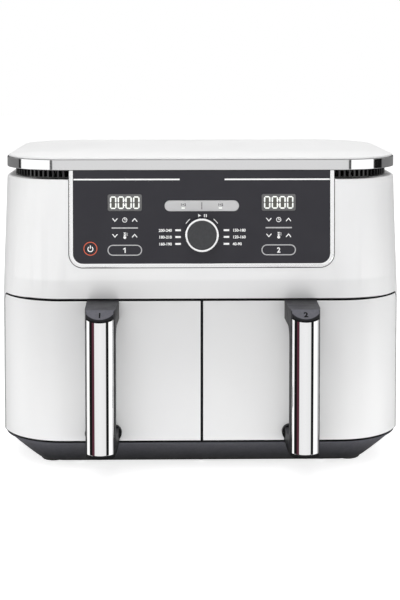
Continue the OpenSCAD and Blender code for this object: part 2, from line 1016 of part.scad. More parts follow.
// Two concentric turns of tube, joined by a bend, with both ends led out through the shroud.
module heater() {
    stop = 238;
    collar = heater_tube_r + 0.8;
    translate([basket_x, mid_y, 0])
        for (i = [0, 1]) {
            translate([0, 0, heater_z]) {
                tube_arc(turn_r[i], lead_a[i], stop);
                rotate([0, 0, stop])
                    translate([turn_r[i], 0, 0])
                        rotate([90, 0, 0])
                            cylinder(r = collar, h = 8, center = true);
                rotate([0, 0, lead_a[i]])
                    translate([turn_r[i], 0, -collar])
                        cylinder(r = collar, h = 2 * collar);
            }
            heater_lead(lead_a[i], turn_r[i], lead_end, heater_tube_r);
        }
    translate([basket_x, mid_y, heater_z])
        rotate([0, 0, stop])
            translate([heater_r - bend_r, 0, 0])
                tube_arc(bend_r, 0, 180);
}

module heater_side(side) {
    color([0.42, 0.4, 0.38])
        on_side(side)
            heater();
}

// Pressed guard between the chamber and the heating element.
module heater_guard() {
    guard_t = 1.2;
    translate([basket_x, mid_y, roof_z])
        linear_extrude(guard_t)
            difference() {
                circle(throat_r + 6);
                for (r = [10:9:throat_r - 9])
                    difference() {
                        circle(r + 6.5);
                        circle(r);
                        for (a = [0:60:120])
                            rotate(a)
                                square([2 * throat_r, 3], center = true);
                    }
            }
}

module heater_guard_side(side) {
    color(steel)
        on_side(side)
            heater_guard();
}

motor_slot_z = 8;
motor_slot_h = motor_h - 2.5 * motor_slot_z;
module motor() {
    translate([basket_x, mid_y, motor_z0])
        difference() {
            union() {
                cylinder(r = motor_r, h = motor_h - 6);
                translate([0, 0, motor_h - 6])
                    cylinder(r1 = motor_r, r2 = motor_r - 5, h = 3);
                translate([0, 0, motor_h - 3])
                    cylinder(r = 9, h = 3);
            }
            translate([0, 0, -cut])
                cylinder(r = shaft_r + shaft_gap, h = motor_h + 2 * cut);
            for (a = [0:45:315])
                rotate([0, 0, a])
                    translate([motor_r - 3, -2, motor_slot_z])
                        cube([6, 4, motor_slot_h]);
        }
}

module motor_side(side) {
    color(steel)
        on_side(side)
            motor();
}

probe_r = 2.5;
probe_l = 14;
module temperature_probes() {
    color(steel)
        for (s = [-1, 1])
            on_side(s)
                translate([basket_x, liner_y0 + liner_l, sensor_z]) {
                    rod_y(probe_r, -probe_l, 0);
                    rod_y(4.5, 0, 3);
                }
}

// Micro-switches that sense the closed drawers, on the frame's middle post.
module drawer_switches() {
    color(black)
        for (s = [-1, 1])
            translate([s * 3 - 2.5, liner_y0, base_top + 60])
                cube([5, 16, 12]);
}

rack_w = 96;
rack_d = 90;
rack_t = 2;
rack_post_h = 6;
rack_post_in = 7;
module board_carrier() {
    color(black)
        translate([-rack_w / 2, mid_y - rack_d / 2, shroud_z1]) {
            cube([rack_w, rack_d, rack_t]);
            for (x = [rack_post_in, rack_w - rack_post_in], y = [rack_post_in, rack_d - rack_post_in])
                translate([x, y, rack_t])
                    cylinder(r = 3, h = rack_post_h);
        }
}

transformer_size = [26, 22, 20];
relay_size = [16, 20, 15];
sink_fin_size = [1.6, 36, 24];
capacitor_r = 6;
capacitor_h = 22;

// Power board: transformer, filter capacitors, relays and heat sink on one board.
module power_board() {
    color(board_green)
        translate([-rack_w / 2, mid_y - rack_d / 2, shroud_z1 + rack_t + rack_post_h]) {
            cube([rack_w, rack_d, board_t]);
            translate([12, 12, board_t])
                cube(transformer_size);
            for (y = [18, 34])
                translate([56, y, board_t])
                    cylinder(r = capacitor_r, h = capacitor_h);
            for (x = [12, 34, 56])
                translate([x, 60, board_t])
                    cube(relay_size);
            for (i = [0:4])
                translate([74 + i * 4, 12, board_t])
                    cube(sink_fin_size);
        }
}

module exhaust_grille() {
    border = 6;
    bars = 6;
    pitch = exhaust_h / bars;
    bar_t = 1.8;
    on_rear()
        translate([basket_x, 0, exhaust_v]) {
            slab(0, rear_out)
                difference() {
                    round_rect(exhaust_w + 2 * border, exhaust_h + 2 * border, 7);
                    round_rect(exhaust_w, exhaust_h, 3);
                }
            slab(-wall, 0)
                difference() {
                    round_rect(exhaust_w + 2 * spigot_t, exhaust_h + 2 * spigot_t, 4);
                    round_rect(exhaust_w, exhaust_h, 3);
                }
            for (i = [1:bars - 1])
                translate([-exhaust_w / 2, 0, -exhaust_h / 2 + i * pitch - bar_t / 2])
                    cube([exhaust_w, rear_out - 1.5, bar_t]);
        }
}

module exhaust_grille_side(side) {
    color(charcoal)
        on_side(side)
            exhaust_grille();
}

gland_body_r = 6.5;
module cord_gland() {
    color(black)
        translate([0, rear_y, gland_z])
            difference() {
                union() {
                    rod_y(9, 0, 3);
                    rod_y(gland_body_r, -wall - 8, 0);
                }
                rod_y(gland_r, -wall - 8 - cut, 3 + cut);
            }
}

// ---------- drawers ----------

handle_z1 = drawer_z1 + 0.5;
handle_z0 = drawer_z0 + 0.6;
boss_z = drawer_z0 + 10;
handle_screw_z = [boss_z, handle_z1 - arm_h / 2];

module drawer_front() {
    difference() {
        intersection() {
            around_body()
                translate([0, drawer_z0])
                    square([drawer_d, drawer_h]);
            along_x(seam_gap / 2, body_w / 2 + cut)
                bay_side(wrap_y, drawer_z0, drawer_z1, hook_r);
        }
        intersection() {
            around_body()
                translate([wall, drawer_z0 + wall])
                    square([drawer_d, drawer_h - 2 * wall]);
            along_x(seam_gap / 2 + wall, body_w / 2)
                bay_side(wrap_y - wall, drawer_z0 + wall, drawer_z1 - wall, hook_r - wall);
        }
        for (z = handle_screw_z)
            translate([handle_x, front_y, z])
                rod_y(screw_r + fit, -cut, wall + cut);
    }
}

module drawer_front_side(side) {
    color(white)
        on_side(side)
            drawer_front();
}

backing_t = 2.4;
module drawer_backing_side(side) {
    inner = wall + fit;
    color(charcoal)
        on_side(side)
            intersection() {
                around_body()
                    translate([drawer_d - backing_t, drawer_z0 + inner])
                        square([backing_t, drawer_h - 2 * inner]);
                along_x(seam_gap / 2 + inner, body_w / 2)
                    bay_side(wrap_y - inner, drawer_z0 + inner, drawer_z1 - inner, hook_r - inner);
            }
}

// Pressed pan with rounded floor and a rim; its front wall is fixed to the drawer's backing.
module basket() {
    translate([basket_x, basket_y, basket_z0]) {
        sweep_round(basket_w, basket_l, basket_r) {
            difference() {
                corner_block(basket_r, basket_h, basket_floor_r);
                translate([basket_t, basket_t])
                    corner_block(basket_r, basket_h, basket_floor_r - basket_t);
            }
            translate([-rim_w, basket_h - basket_t])
                square([rim_w, basket_t]);
        }
        translate([-basket_w / 2 + basket_r, -basket_l / 2 + basket_r, 0])
            cube([basket_w - 2 * basket_r, basket_l - 2 * basket_r, basket_t]);
    }
}

module basket_side(side) {
    color(graphite)
        on_side(side)
            intersection() {
                basket();
                body_prism(drawer_d, 0, shoulder_z);
            }
}

plate_gap = 1;
plate_w = basket_w - 2 * basket_t - 2 * plate_gap;
plate_l = basket_l - 2 * basket_t - 2 * plate_gap;
plate_r = basket_r - basket_t - plate_gap;
plate_skirt = 7;

// Perforated plate with a turned-down edge.
module crisper_plate() {
    nx = floor((plate_w / 2 - 12) / plate_pitch);
    ny = floor((plate_l / 2 - 12) / plate_pitch);
    translate([basket_x, basket_y, plate_z]) {
        difference() {
            linear_extrude(plate_t)
                round_rect(plate_w, plate_l, plate_r);
            for (i = [-nx:nx], j = [-ny:ny])
                if (hole_fits(abs(i) * plate_pitch, abs(j) * plate_pitch))
                    translate([i * plate_pitch, j * plate_pitch, -cut])
                        cylinder(r = plate_hole_r, h = plate_t + 2 * cut);
        }
        translate([0, 0, -plate_skirt])
            sweep_round(plate_w, plate_l, plate_r)
                square([plate_t, plate_skirt]);
    }
}

// Whether a hole at this distance from the plate's centre keeps clear of its round corners.
function hole_fits(x, y) =
    let (cx = x - plate_w / 2 + plate_r, cy = y - plate_l / 2 + plate_r)
    cx < 0 || cy < 0 || norm([cx, cy]) < plate_r - plate_hole_r - 4;

module crisper_plate_side(side) {
    color(graphite)
        on_side(side)
            crisper_plate();
}

// Silicone bumpers under the plate's edge, which stand on the basket's floor.
module plate_bumpers_side(side) {
    bumper = [7, 12];
    z0 = basket_z0 + basket_t + run;
    color(charcoal)
        on_side(side)
            translate([basket_x, basket_y, z0])
                for (x = [-1, 1], y = [-1, 1])
                    translate([x * (plate_w / 2 - plate_t - bumper[0] / 2 - 3) - bumper[0] / 2,
                               y * (plate_l / 2 - plate_r - bumper[1]) - bumper[1] / 2, 0])
                        cube([bumper[0], bumper[1], plate_z - z0]);
}

// ---------- handles ----------

grip_y0 = -handle_out + grip_d;
grip_r = (handle_w * handle_w / 4 + grip_crown * grip_crown) / (2 * grip_crown);
root_w = handle_w + handle_flare;
grip_w = handle_w + 0.65 * handle_flare;
step_w = handle_w + 0.2 * handle_flare;
cover_depth = grip_crown + 2.5;
cover_back = -handle_out + cover_depth;
step_y = cover_back + 0.3;

// Plan of the handle: wide at the drawer, narrower at the grip, a small step behind the
// polished cover, and a rounded front.
module handle_plan() {
    difference() {
        polygon([[-root_w / 2, 0], [root_w / 2, 0], [grip_w / 2, grip_y0],
                 [step_w / 2, step_y], [handle_w / 2, step_y],
                 [handle_w / 2, -handle_out], [-handle_w / 2, -handle_out],
                 [-handle_w / 2, step_y], [-step_w / 2, step_y], [-grip_w / 2, grip_y0]]);
        difference() {
            translate([-handle_w, -handle_out - cut])
                square([2 * handle_w, grip_crown + cut + 0.5]);
            translate([0, -handle_out + grip_r])
                circle(grip_r, $fn = fine_fn);
        }
    }
}

cap_run = 10;
cap_drop = 7.3;
cover_drop = 9.3;
cover_slope = 0.34;
cover_foot = 3.4;

// Side view of the handle: two arms and a grip, with the upper front corner cut to a slope.
module handle_side_view() {
    difference() {
        translate([-handle_out - cut, handle_z0])
            square([handle_out + cut, handle_z1 - handle_z0]);
        polygon([[-handle_out + cap_run, handle_z1], [-handle_out, handle_z1 - cap_drop],
                 [-handle_out - 2 * cut, handle_z1 - cap_drop],
                 [-handle_out - 2 * cut, handle_z1 + cut], [-handle_out + cap_run, handle_z1 + cut]]);
        finger_gap();
    }
}

// The room for the fingers, with rounded ends.
module finger_gap() {
    gap_r = 12;
    lower_arm = 15;
    z0 = handle_z0 + lower_arm;
    z1 = handle_z1 - arm_h;
    w = -grip_y0;
    translate([grip_y0 + w / 2, (z0 + z1) / 2])
        round_rect(w, z1 - z0, gap_r);
    translate([-gap_r - 0.01, z0 + gap_r])
        square([gap_r + cut, z1 - z0 - 2 * gap_r]);
    translate([-gap_r, z1 - gap_r])
        square([gap_r + cut, gap_r]);
    translate([-gap_r, z0])
        square([gap_r + cut, gap_r]);
}

// The handle's whole outer shape, before the polished cover is let in.
module handle_form() {
    translate([handle_x, front_y, 0])
        intersection() {
            along_x(-root_w, root_w)
                handle_side_view();
            linear_extrude(drawer_z1 + cut)
                handle_plan();
        }
}

// Side view of the room that the polished cover takes up: its top edge rises to the back.
module cover_side_view() {
    z0 = handle_z0 + cover_foot;
    z1 = handle_z1 - cover_drop;
    polygon([[-handle_out - cut, z0], [cover_back + cut, z0],
             [cover_back + cut, z1 + (cover_depth + cut) * cover_slope],
             [-handle_out - cut, z1 - cut * cover_slope]]);
}

// The part of the handle's skin that the polished cover takes up.
module cover_zone() {
    translate([handle_x, front_y, 0])
        intersection() {
            along_x(-root_w, root_w)
                cover_side_view();
            linear_extrude(drawer_z1)
                difference() {
                    translate([-handle_w, -handle_out - cut])
                        square([2 * handle_w, cover_depth + cut]);
                    intersection() {
                        translate([0, -handle_out + grip_r])
                            circle(grip_r - cover_t, $fn = fine_fn);
                        translate([-handle_w / 2 + cover_t, -handle_out])
                            square([handle_w - 2 * cover_t, cover_depth + cut]);
                    }
                }
        }
}

module handle_frame_side(side) {
    boss_w = root_w + 4.8;
    boss_h = 15.6;
    color(charcoal)
        on_side(side)
            difference() {
                union() {
                    difference() {
                        handle_form();
                        cover_zone();
                    }
                    translate([handle_x, front_y, boss_z])
                        slab(-6, 0)
                            pill(boss_w, boss_h);
                }
                for (z = handle_screw_z)
                    translate([handle_x, front_y, z])
                        rod_y(screw_r + shaft_gap, -12, cut);
            }
}

module handle_cover_side(side) {
    color(polished)
        on_side(side)
            intersection() {
                handle_form();
                cover_zone();
            }
}

module handle_screws_side(side) {
    color(steel)
        on_side(side)
            for (z = handle_screw_z)
                translate([handle_x, front_y, z]) {
                    rod_y(screw_r, -10, wall);
                    rod_y(3.6, wall, wall + 2.4);
                }
}

// ---------- fans ----------

fan_r = throat_r - fan_in;
fan_z0 = heater_z + heater_tube_r + 5;
fan_h = 12;
disc_t = 1.2;

module fan_blade(r0, r1, h) {
    linear_extrude(h)
        difference() {
            intersection() {
                translate([r0, -r1 / 2])
                    square([r1 - r0, r1]);
                translate([(r0 + r1) / 2, -r1 * 0.55])
                    circle(r1 * 0.6 + 0.7);
            }
            translate([(r0 + r1) / 2, -r1 * 0.55])
                circle(r1 * 0.6 - 0.7);
            translate([0, -r1])
                square([r1, r1 - 6]);
        }
}

// Centrifugal fan over the heating element, on the motor's shaft.
module hot_fan() {
    translate([basket_x, mid_y, 0]) {
        translate([0, 0, fan_z0 + fan_h])
            cylinder(r = fan_r, h = disc_t);
        translate([0, 0, fan_z0])
            cylinder(r = 8, h = fan_h + disc_t / 2);
        for (i = [0:fan_blades - 1])
            intersection() {
                rotate([0, 0, 360 / fan_blades * i])
                    translate([0, 0, fan_z0])
                        fan_blade(18, fan_r, fan_h + disc_t / 2);
                cylinder(r = fan_r, h = shoulder_z);
            }
        translate([0, 0, fan_z0])
            cylinder(r = shaft_r, h = motor_z1 + 14 - fan_z0);
    }
}

module hot_fan_side(side) {
    color(steel)
        on_side(side)
            hot_fan();
}

cooling_r = 34;
module cooling_fan_side(side) {
    z0 = motor_z1 + 2;
    color(black)
        on_side(side)
            translate([basket_x, mid_y, z0])
                difference() {
                    union() {
                        cylinder(r = 7, h = 10);
                        cylinder(r = cooling_r, h = disc_t);
                        for (a = [0:40:320])
                            rotate([0, 0, a])
                                translate([6, -0.7, 0])
                                    cube([cooling_r - 7, 1.4, 9]);
                    }
                    translate([0, 0, -cut])
                        cylinder(r = shaft_r + 0.02, h = 12);
                }
}

// ---------- nodes ----------

housing_shell();
base_skirt();
bottom_plate();
rubber_feet();
base_screws();
bay_frame();
trim_band();
top_cover();
vent_grille_side(-1);  // vent_grille_left
vent_grille_side(1);  // vent_grille_right
panel_bezel();
panel_lens();
panel_carrier();
display_side(-1);  // display_left
display_side(1);  // display_right
control_board();
encoder_body();
chamber_liner_side(-1);  // chamber_liner_left
chamber_liner_side(1);  // chamber_liner_right
air_shroud_side(-1);  // air_shroud_left
air_shroud_side(1);  // air_shroud_right
exhaust_grille_side(-1);  // exhaust_grille_left
exhaust_grille_side(1);  // exhaust_grille_right
heater_side(-1);  // heater_left
heater_side(1);  // heater_right
heater_guard_side(-1);  // heater_guard_left
heater_guard_side(1);  // heater_guard_right
motor_side(-1);  // motor_left
motor_side(1);  // motor_right
temperature_probes();
drawer_switches();
board_carrier();
power_board();
cord_gland();
drawer_front_side(-1);  // drawer_front_left
drawer_backing_side(-1);  // drawer_backing_left
basket_side(-1);  // basket_left
handle_frame_side(-1);  // handle_frame_left
handle_cover_side(-1);  // handle_cover_left
handle_screws_side(-1);  // handle_screws_left
crisper_plate_side(-1);  // crisper_plate_left
plate_bumpers_side(-1);  // plate_bumpers_left
drawer_front_side(1);  // drawer_front_right
drawer_backing_side(1);  // drawer_backing_right
basket_side(1);  // basket_right
handle_frame_side(1);  // handle_frame_right
handle_cover_side(1);  // handle_cover_right
handle_screws_side(1);  // handle_screws_right
crisper_plate_side(1);  // crisper_plate_right
plate_bumpers_side(1);  // plate_bumpers_right
hot_fan_side(-1);  // hot_fan_left
cooling_fan_side(-1);  // cooling_fan_left
hot_fan_side(1);  // hot_fan_right
cooling_fan_side(1);  // cooling_fan_right
dial_knob();
dial_ring();
dial_shaft();
dial_plunger();
mode_rocker();
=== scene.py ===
import json
import math

import bmesh
import bpy
from mathutils import Matrix, Vector


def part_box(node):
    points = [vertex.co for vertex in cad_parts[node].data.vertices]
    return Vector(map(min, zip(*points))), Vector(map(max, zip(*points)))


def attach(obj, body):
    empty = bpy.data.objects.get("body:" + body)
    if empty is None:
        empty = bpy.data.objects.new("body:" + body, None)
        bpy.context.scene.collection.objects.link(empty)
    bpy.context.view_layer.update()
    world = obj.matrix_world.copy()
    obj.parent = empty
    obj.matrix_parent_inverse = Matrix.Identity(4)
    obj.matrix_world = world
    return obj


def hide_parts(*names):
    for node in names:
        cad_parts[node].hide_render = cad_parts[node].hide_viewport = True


# Looks of the air fryer. Lengths are millimetres in the object's own frame until they reach a mesh,
# a material or a lamp.

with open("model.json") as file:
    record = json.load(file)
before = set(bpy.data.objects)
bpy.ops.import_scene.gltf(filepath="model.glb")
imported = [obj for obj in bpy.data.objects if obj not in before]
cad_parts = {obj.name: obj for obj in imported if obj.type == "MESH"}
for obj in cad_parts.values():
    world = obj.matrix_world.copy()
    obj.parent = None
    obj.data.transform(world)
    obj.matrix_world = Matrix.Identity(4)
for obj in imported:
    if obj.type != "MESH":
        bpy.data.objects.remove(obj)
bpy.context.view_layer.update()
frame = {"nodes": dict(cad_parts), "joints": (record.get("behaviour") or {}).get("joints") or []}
NODES = frame["nodes"]
MM = 0.001


def box_mm(node):
    """Lowest and highest corner of a CAD node, in millimetres."""
    low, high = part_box(node)
    return low / MM, high / MM


# ---------- driving dimensions, from the frame ----------

DRAWER_LOW, DRAWER_HIGH = box_mm("drawer_front_right")
SHELL_HIGH = box_mm("housing_shell")[1]
HALF_W = SHELL_HIGH.x
FRONT_Y = DRAWER_LOW.y
WRAP_Y = DRAWER_HIGH.y
REAR_Y = SHELL_HIGH.y
SEAM_Z = box_mm("bay_frame")[1].z
BAND_LOW, BAND_HIGH = box_mm("trim_band")
HANDLE_LOW, HANDLE_HIGH = box_mm("handle_frame_right")
PUSH = next(j for j in frame["joints"] if j["name"] == "dial_push")
TURN = next(j for j in frame["joints"] if j["name"] == "dial_turn")
LEAN = math.asin(-PUSH["axis"][2])
CORNER_R = 68.0
FLAT_X = HALF_W - CORNER_R
SIDES = (("left", -1), ("right", 1))


# ---------- mesh helpers ----------

def add_mesh(name, verts, faces, smooth=True):
    """A mesh object from points in millimetres."""
    mesh = bpy.data.meshes.new(name)
    mesh.from_pydata([Vector(v) * MM for v in verts], [], faces)
    mesh.validate()
    tidy = bmesh.new()
    tidy.from_mesh(mesh)
    bmesh.ops.remove_doubles(tidy, verts=tidy.verts, dist=1e-6)
    bmesh.ops.recalc_face_normals(tidy, faces=tidy.faces)
    tidy.to_mesh(mesh)
    tidy.free()
    for poly in mesh.polygons:
        poly.use_smooth = smooth
    obj = bpy.data.objects.new(name, mesh)
    bpy.context.scene.collection.objects.link(obj)
    return obj


def sharpen(obj, degrees):
    """Keeps edges sharper than an angle crisp under smooth shading."""
    obj.data.set_sharp_from_angle(angle=math.radians(degrees))


def soften(obj, width, segments):
    """Rounds a CAD node's edges with modifiers, which leave its own mesh as it is."""
    weld = obj.modifiers.new("weld", "WELD")
    weld.merge_threshold = 2e-6
    flat = obj.modifiers.new("flat", "DECIMATE")
    flat.decimate_type = "DISSOLVE"
    flat.angle_limit = math.radians(0.3)
    flat.delimit = {"SHARP"}
    bevel = obj.modifiers.new("bevel", "BEVEL")
    bevel.width = width * MM
    bevel.segments = segments
    bevel.limit_method = "ANGLE"
    bevel.angle_limit = math.radians(30)
    bevel.use_clamp_overlap = True
    bevel.harden_normals = True
    for poly in obj.data.polygons:
        poly.use_smooth = True


def grid_faces(rows, cols, wrap=False):
    """Quads of a grid whose points run row by row."""
    last = cols if wrap else cols - 1
    return [(r * cols + c, r * cols + (c + 1) % cols, (r + 1) * cols + (c + 1) % cols, (r + 1) * cols + c)
            for r in range(rows - 1) for c in range(last)]


def arc(centre, radius, start, stop, steps):
    """Points of an arc, with angles in degrees."""
    return [(centre[0] + radius * math.cos(math.radians(start + (stop - start) * i / steps)),
             centre[1] + radius * math.sin(math.radians(start + (stop - start) * i / steps)))
            for i in range(steps + 1)]


# ---------- the panel's face ----------

ON_FACE = Matrix.Translation(Vector((0, FRONT_Y, SEAM_Z))) @ Matrix.Rotation(-LEAN, 4, "X")


def on_face(x, v, out=0.0):
    """A point on the panel's sloping face: x across, v up from the seam, out towards the viewer."""
    return ON_FACE @ Vector((x, -out, v))


# ---------- materials ----------

def shader(name, color, roughness, metallic=0.0, coat=0.0, specular=0.5):
    """A new material with its node tree and main shader; the colour is its plain one."""
    mat = bpy.data.materials.new(name)
    mat.use_nodes = True
    tree = mat.node_tree
    bsdf = tree.nodes["Principled BSDF"]
    bsdf.inputs["Base Color"].default_value = (*color, 1)
    bsdf.inputs["Roughness"].default_value = roughness
    bsdf.inputs["Metallic"].default_value = metallic
    bsdf.inputs["Coat Weight"].default_value = coat
    bsdf.inputs["Coat Roughness"].default_value = 0.06
    bsdf.inputs["Specular IOR Level"].default_value = specular
    return mat, tree, bsdf


def noise(tree, scale, detail=2.0, stretch=(1, 1, 1)):
    """Noise in the object's own space; scale is in waves per metre."""
    coord = tree.nodes.new("ShaderNodeTexCoord")
    mapping = tree.nodes.new("ShaderNodeMapping")
    mapping.inputs["Scale"].default_value = stretch
    tex = tree.nodes.new("ShaderNodeTexNoise")
    tex.inputs["Scale"].default_value = scale
    tex.inputs["Detail"].default_value = detail
    tree.links.new(coord.outputs["Object"], mapping.inputs["Vector"])
    tree.links.new(mapping.outputs["Vector"], tex.inputs["Vector"])
    return tex.outputs["Fac"]


def spread(tree, value, low, high):
    """Maps noise round its middle to a range."""
    node = tree.nodes.new("ShaderNodeMapRange")
    node.inputs["From Min"].default_value = 0.3
    node.inputs["From Max"].default_value = 0.7
    node.inputs["To Min"].default_value = low
    node.inputs["To Max"].default_value = high
    tree.links.new(value, node.inputs["Value"])
    return node.outputs["Result"]


def bump(tree, bsdf, value, depth, strength):
    """Relief of a depth in millimetres."""
    node = tree.nodes.new("ShaderNodeBump")
    node.inputs["Strength"].default_value = strength
    node.inputs["Distance"].default_value = depth * MM
    tree.links.new(value, node.inputs["Height"])
    tree.links.new(node.outputs["Normal"], bsdf.inputs["Normal"])


def vary(tree, bsdf, socket, value, low, high):
    """Drives a colour or a number of the shader by noise between two values."""
    if isinstance(low, tuple):
        ramp = tree.nodes.new("ShaderNodeValToRGB")
        ramp.color_ramp.elements[0].position = 0.35
        ramp.color_ramp.elements[1].position = 0.65
        ramp.color_ramp.elements[0].color = (*low, 1)
        ramp.color_ramp.elements[1].color = (*high, 1)
        tree.links.new(value, ramp.inputs["Fac"])
        tree.links.new(ramp.outputs["Color"], bsdf.inputs[socket])
    else:
        tree.links.new(spread(tree, value, low, high), bsdf.inputs[socket])


def level_at(tree, value, low, high):
    """0 to 1 as a value goes from one limit to the other, and no further."""
    node = tree.nodes.new("ShaderNodeMapRange")
    node.inputs["From Min"].default_value = low
    node.inputs["From Max"].default_value = high
    tree.links.new(value, node.inputs["Value"])
    return node.outputs["Result"]


def math_node(tree, operation, first, second=None):
    """One arithmetic node; an argument may be a number or another node's output."""
    node = tree.nodes.new("ShaderNodeMath")
    node.operation = operation
    for socket, value in zip(node.inputs, (first, second)):
        if isinstance(value, (int, float)):
            socket.default_value = value
        elif value is not None:
            tree.links.new(value, socket)
    return node.outputs[0]


def ramp_of(tree, value, stops):
    """A ramp of grey levels or colours over a value from 0 to 1."""
    ramp = tree.nodes.new("ShaderNodeValToRGB")
    ramp.color_ramp.interpolation = "LINEAR"
    elements = ramp.color_ramp.elements
    while len(elements) > 1:
        elements.remove(elements[-1])
    elements[0].position = stops[0][0]
    elements[0].color = (*(stops[0][1],) * 3, 1)
    for position, level in stops[1:]:
        tint = level if isinstance(level, tuple) else (level,) * 3
        elements.new(position).color = (*tint, 1)
    tree.links.new(value, ramp.inputs["Fac"])
    return ramp.outputs["Color"]


def mix_colors(tree, factor, first, second):
    """A blend of two colours; the second may be a fixed one."""
    mix = tree.nodes.new("ShaderNodeMix")
    mix.data_type = "RGBA"
    tree.links.new(factor, mix.inputs["Factor"])
    tree.links.new(first, mix.inputs["A"])
    if isinstance(second, tuple):
        mix.inputs["B"].default_value = (*second, 1)
    else:
        tree.links.new(second, mix.inputs["B"])
    return mix.outputs["Result"]


def scale_color(mat, level):
    """Multiplies a finish's colour by another node's output."""
    tree = mat.node_tree
    bsdf = tree.nodes["Principled BSDF"]
    base = bsdf.inputs["Base Color"].links[0].from_socket
    scaled = tree.nodes.new("ShaderNodeVectorMath")
    scaled.operation = "SCALE"
    tree.links.new(base, scaled.inputs[0])
    tree.links.new(level, scaled.inputs["Scale"])
    tree.links.new(scaled.outputs[0], bsdf.inputs["Base Color"])


def split_coord(tree, kind):
    """X, Y and Z of the object's own place or normal."""
    coord = tree.nodes.new("ShaderNodeTexCoord")
    spot = tree.nodes.new("ShaderNodeSeparateXYZ")
    tree.links.new(coord.outputs[kind], spot.inputs[0])
    return spot.outputs


def white_plastic(name, low, high):
    """Satin moulded plastic with a faint waviness and uneven sheen."""
    mat, tree, bsdf = shader(name, high, 0.36)
    vary(tree, bsdf, "Base Color", noise(tree, 9, 1), low, high)
    vary(tree, bsdf, "Roughness", noise(tree, 60, 3), 0.30, 0.40)
    bump(tree, bsdf, noise(tree, 700, 2), 0.02, 0.35)
    return mat


# Height above the seam of the shell's lower strip that carries painted shade, and the blend at its top.
SHADED_STRIP_H = 19.0
SHADED_STRIP_BLEND = 1.5
# Painted shade on the shell: its height over the seam, and the distances behind the front between which it
# covers the ledge under the intake.
SEAM_EDGE = 0.7
LEDGE_START = 14.0
LEDGE_END = 24.0


def paint_front_shade(mat, low_z, high_z, low_level, high_level):
    """Paints shade on the faces that look to the front, from one level at a height to another further up.
    """
    tree = mat.node_tree
    front = level_at(tree, split_coord(tree, "Normal")["Y"], -0.55, -0.95)
    rise = tree.nodes.new("ShaderNodeMapRange")
    rise.inputs["From Min"].default_value = low_z * MM
    rise.inputs["From Max"].default_value = high_z * MM
    rise.inputs["To Min"].default_value = 1 - low_level
    rise.inputs["To Max"].default_value = 1 - high_level
    tree.links.new(split_coord(tree, "Object")["Z"], rise.inputs["Value"])
    painted_shade = math_node(tree, "MULTIPLY", front, rise.outputs["Result"])
    scale_color(mat, math_node(tree, "SUBTRACT", 1.0, painted_shade))


def paint_gap_shade(mat, color):
    """Paints the shade of dark gaps on the shell's undersides, its edge by the seam and the ledge under the
    intake.
    """
    tree = mat.node_tree
    bsdf = tree.nodes["Principled BSDF"]
    base = bsdf.inputs["Base Color"].links[0].from_socket
    look = split_coord(tree, "Normal")
    spot = split_coord(tree, "Object")
    underside = level_at(tree, look["Z"], -0.55, -0.8)
    front = level_at(tree, look["Y"], -0.7, -0.9)
    by_seam = level_at(tree, spot["Z"], (SEAM_Z + SEAM_EDGE) * MM, (SEAM_Z + SEAM_EDGE - 0.1) * MM)
    edge = math_node(tree, "MULTIPLY", front, by_seam)
    upside = level_at(tree, look["Z"], 0.75, 0.95)
    near = level_at(tree, spot["Y"], (FRONT_Y + LEDGE_END) * MM, (FRONT_Y + LEDGE_START) * MM)
    high = level_at(tree, spot["Z"], (SHELL_HIGH.z - 2) * MM, (SHELL_HIGH.z - 1) * MM)
    ledge = math_node(tree, "MULTIPLY", upside, math_node(tree, "MULTIPLY", near, high))
    mask = math_node(tree, "MAXIMUM", math_node(tree, "MAXIMUM", underside, edge), ledge)
    tree.links.new(mix_colors(tree, mask, base, color), bsdf.inputs["Base Color"])


def fade(mat, axis, limits, stops):
    """Tones a finish along an axis of the object, for parts that lie in the shade of the body."""
    tree = mat.node_tree
    along = level_at(tree, split_coord(tree, "Object")[axis], limits[0] * MM, limits[1] * MM)
    scale_color(mat, ramp_of(tree, along, stops))


def paint_light_by_facing(mat, side, top, slope):
    """Paints light and shade on a finish by the way its faces look: sideways, up, or up and to the front.
    """
    tree = mat.node_tree
    look = split_coord(tree, "Normal")
    up = math_node(tree, "MAXIMUM", look["Z"], 0.0)
    ahead = math_node(tree, "MAXIMUM", math_node(tree, "MULTIPLY", look["Y"], -1.0), 0.0)
    both = math_node(tree, "MULTIPLY", math_node(tree, "MULTIPLY", up, ahead), 2 * slope)
    level = math_node(tree, "ADD", both, side)
    scale_color(mat, math_node(tree, "ADD", math_node(tree, "MULTIPLY", up, top - side), level))


def grained_plastic(name, low, high, roughness=0.5, grain=2600, depth=0.05, specular=0.5):
    """Dark moulded plastic with a fine spark-eroded grain."""
    mat, tree, bsdf = shader(name, high, roughness, specular=specular)
    vary(tree, bsdf, "Base Color", noise(tree, 400, 2), low, high)
    vary(tree, bsdf, "Roughness", noise(tree, 90, 2), roughness - 0.06, roughness + 0.06)
    bump(tree, bsdf, noise(tree, grain, 2), depth, 0.6)
    return mat


def gloss_plastic(name, low, high, roughness=0.12, coat=0.4, specular=0.5):
    """Smooth glossy plastic with faint smears."""
    mat, tree, bsdf = shader(name, high, roughness, coat=coat, specular=specular)
    vary(tree, bsdf, "Base Color", noise(tree, 30, 2), low, high)
    vary(tree, bsdf, "Roughness", noise(tree, 45, 3), roughness - 0.03, roughness + 0.05)
    return mat


def metal(name, color, roughness, streak=None, depth=0.006, wear=0.93):
    """Metal, with brush marks along one axis if streak stretches the noise across it."""
    mat, tree, bsdf = shader(name, color, roughness, metallic=1.0)
    marks = noise(tree, 900, 3, streak or (1, 1, 1))
    darker = tuple(c * wear for c in color)
    vary(tree, bsdf, "Base Color", marks, darker, color)
    vary(tree, bsdf, "Roughness", marks, roughness * 0.8, roughness * 1.25)
    if streak:
        bump(tree, bsdf, marks, depth, 0.5)
    return mat


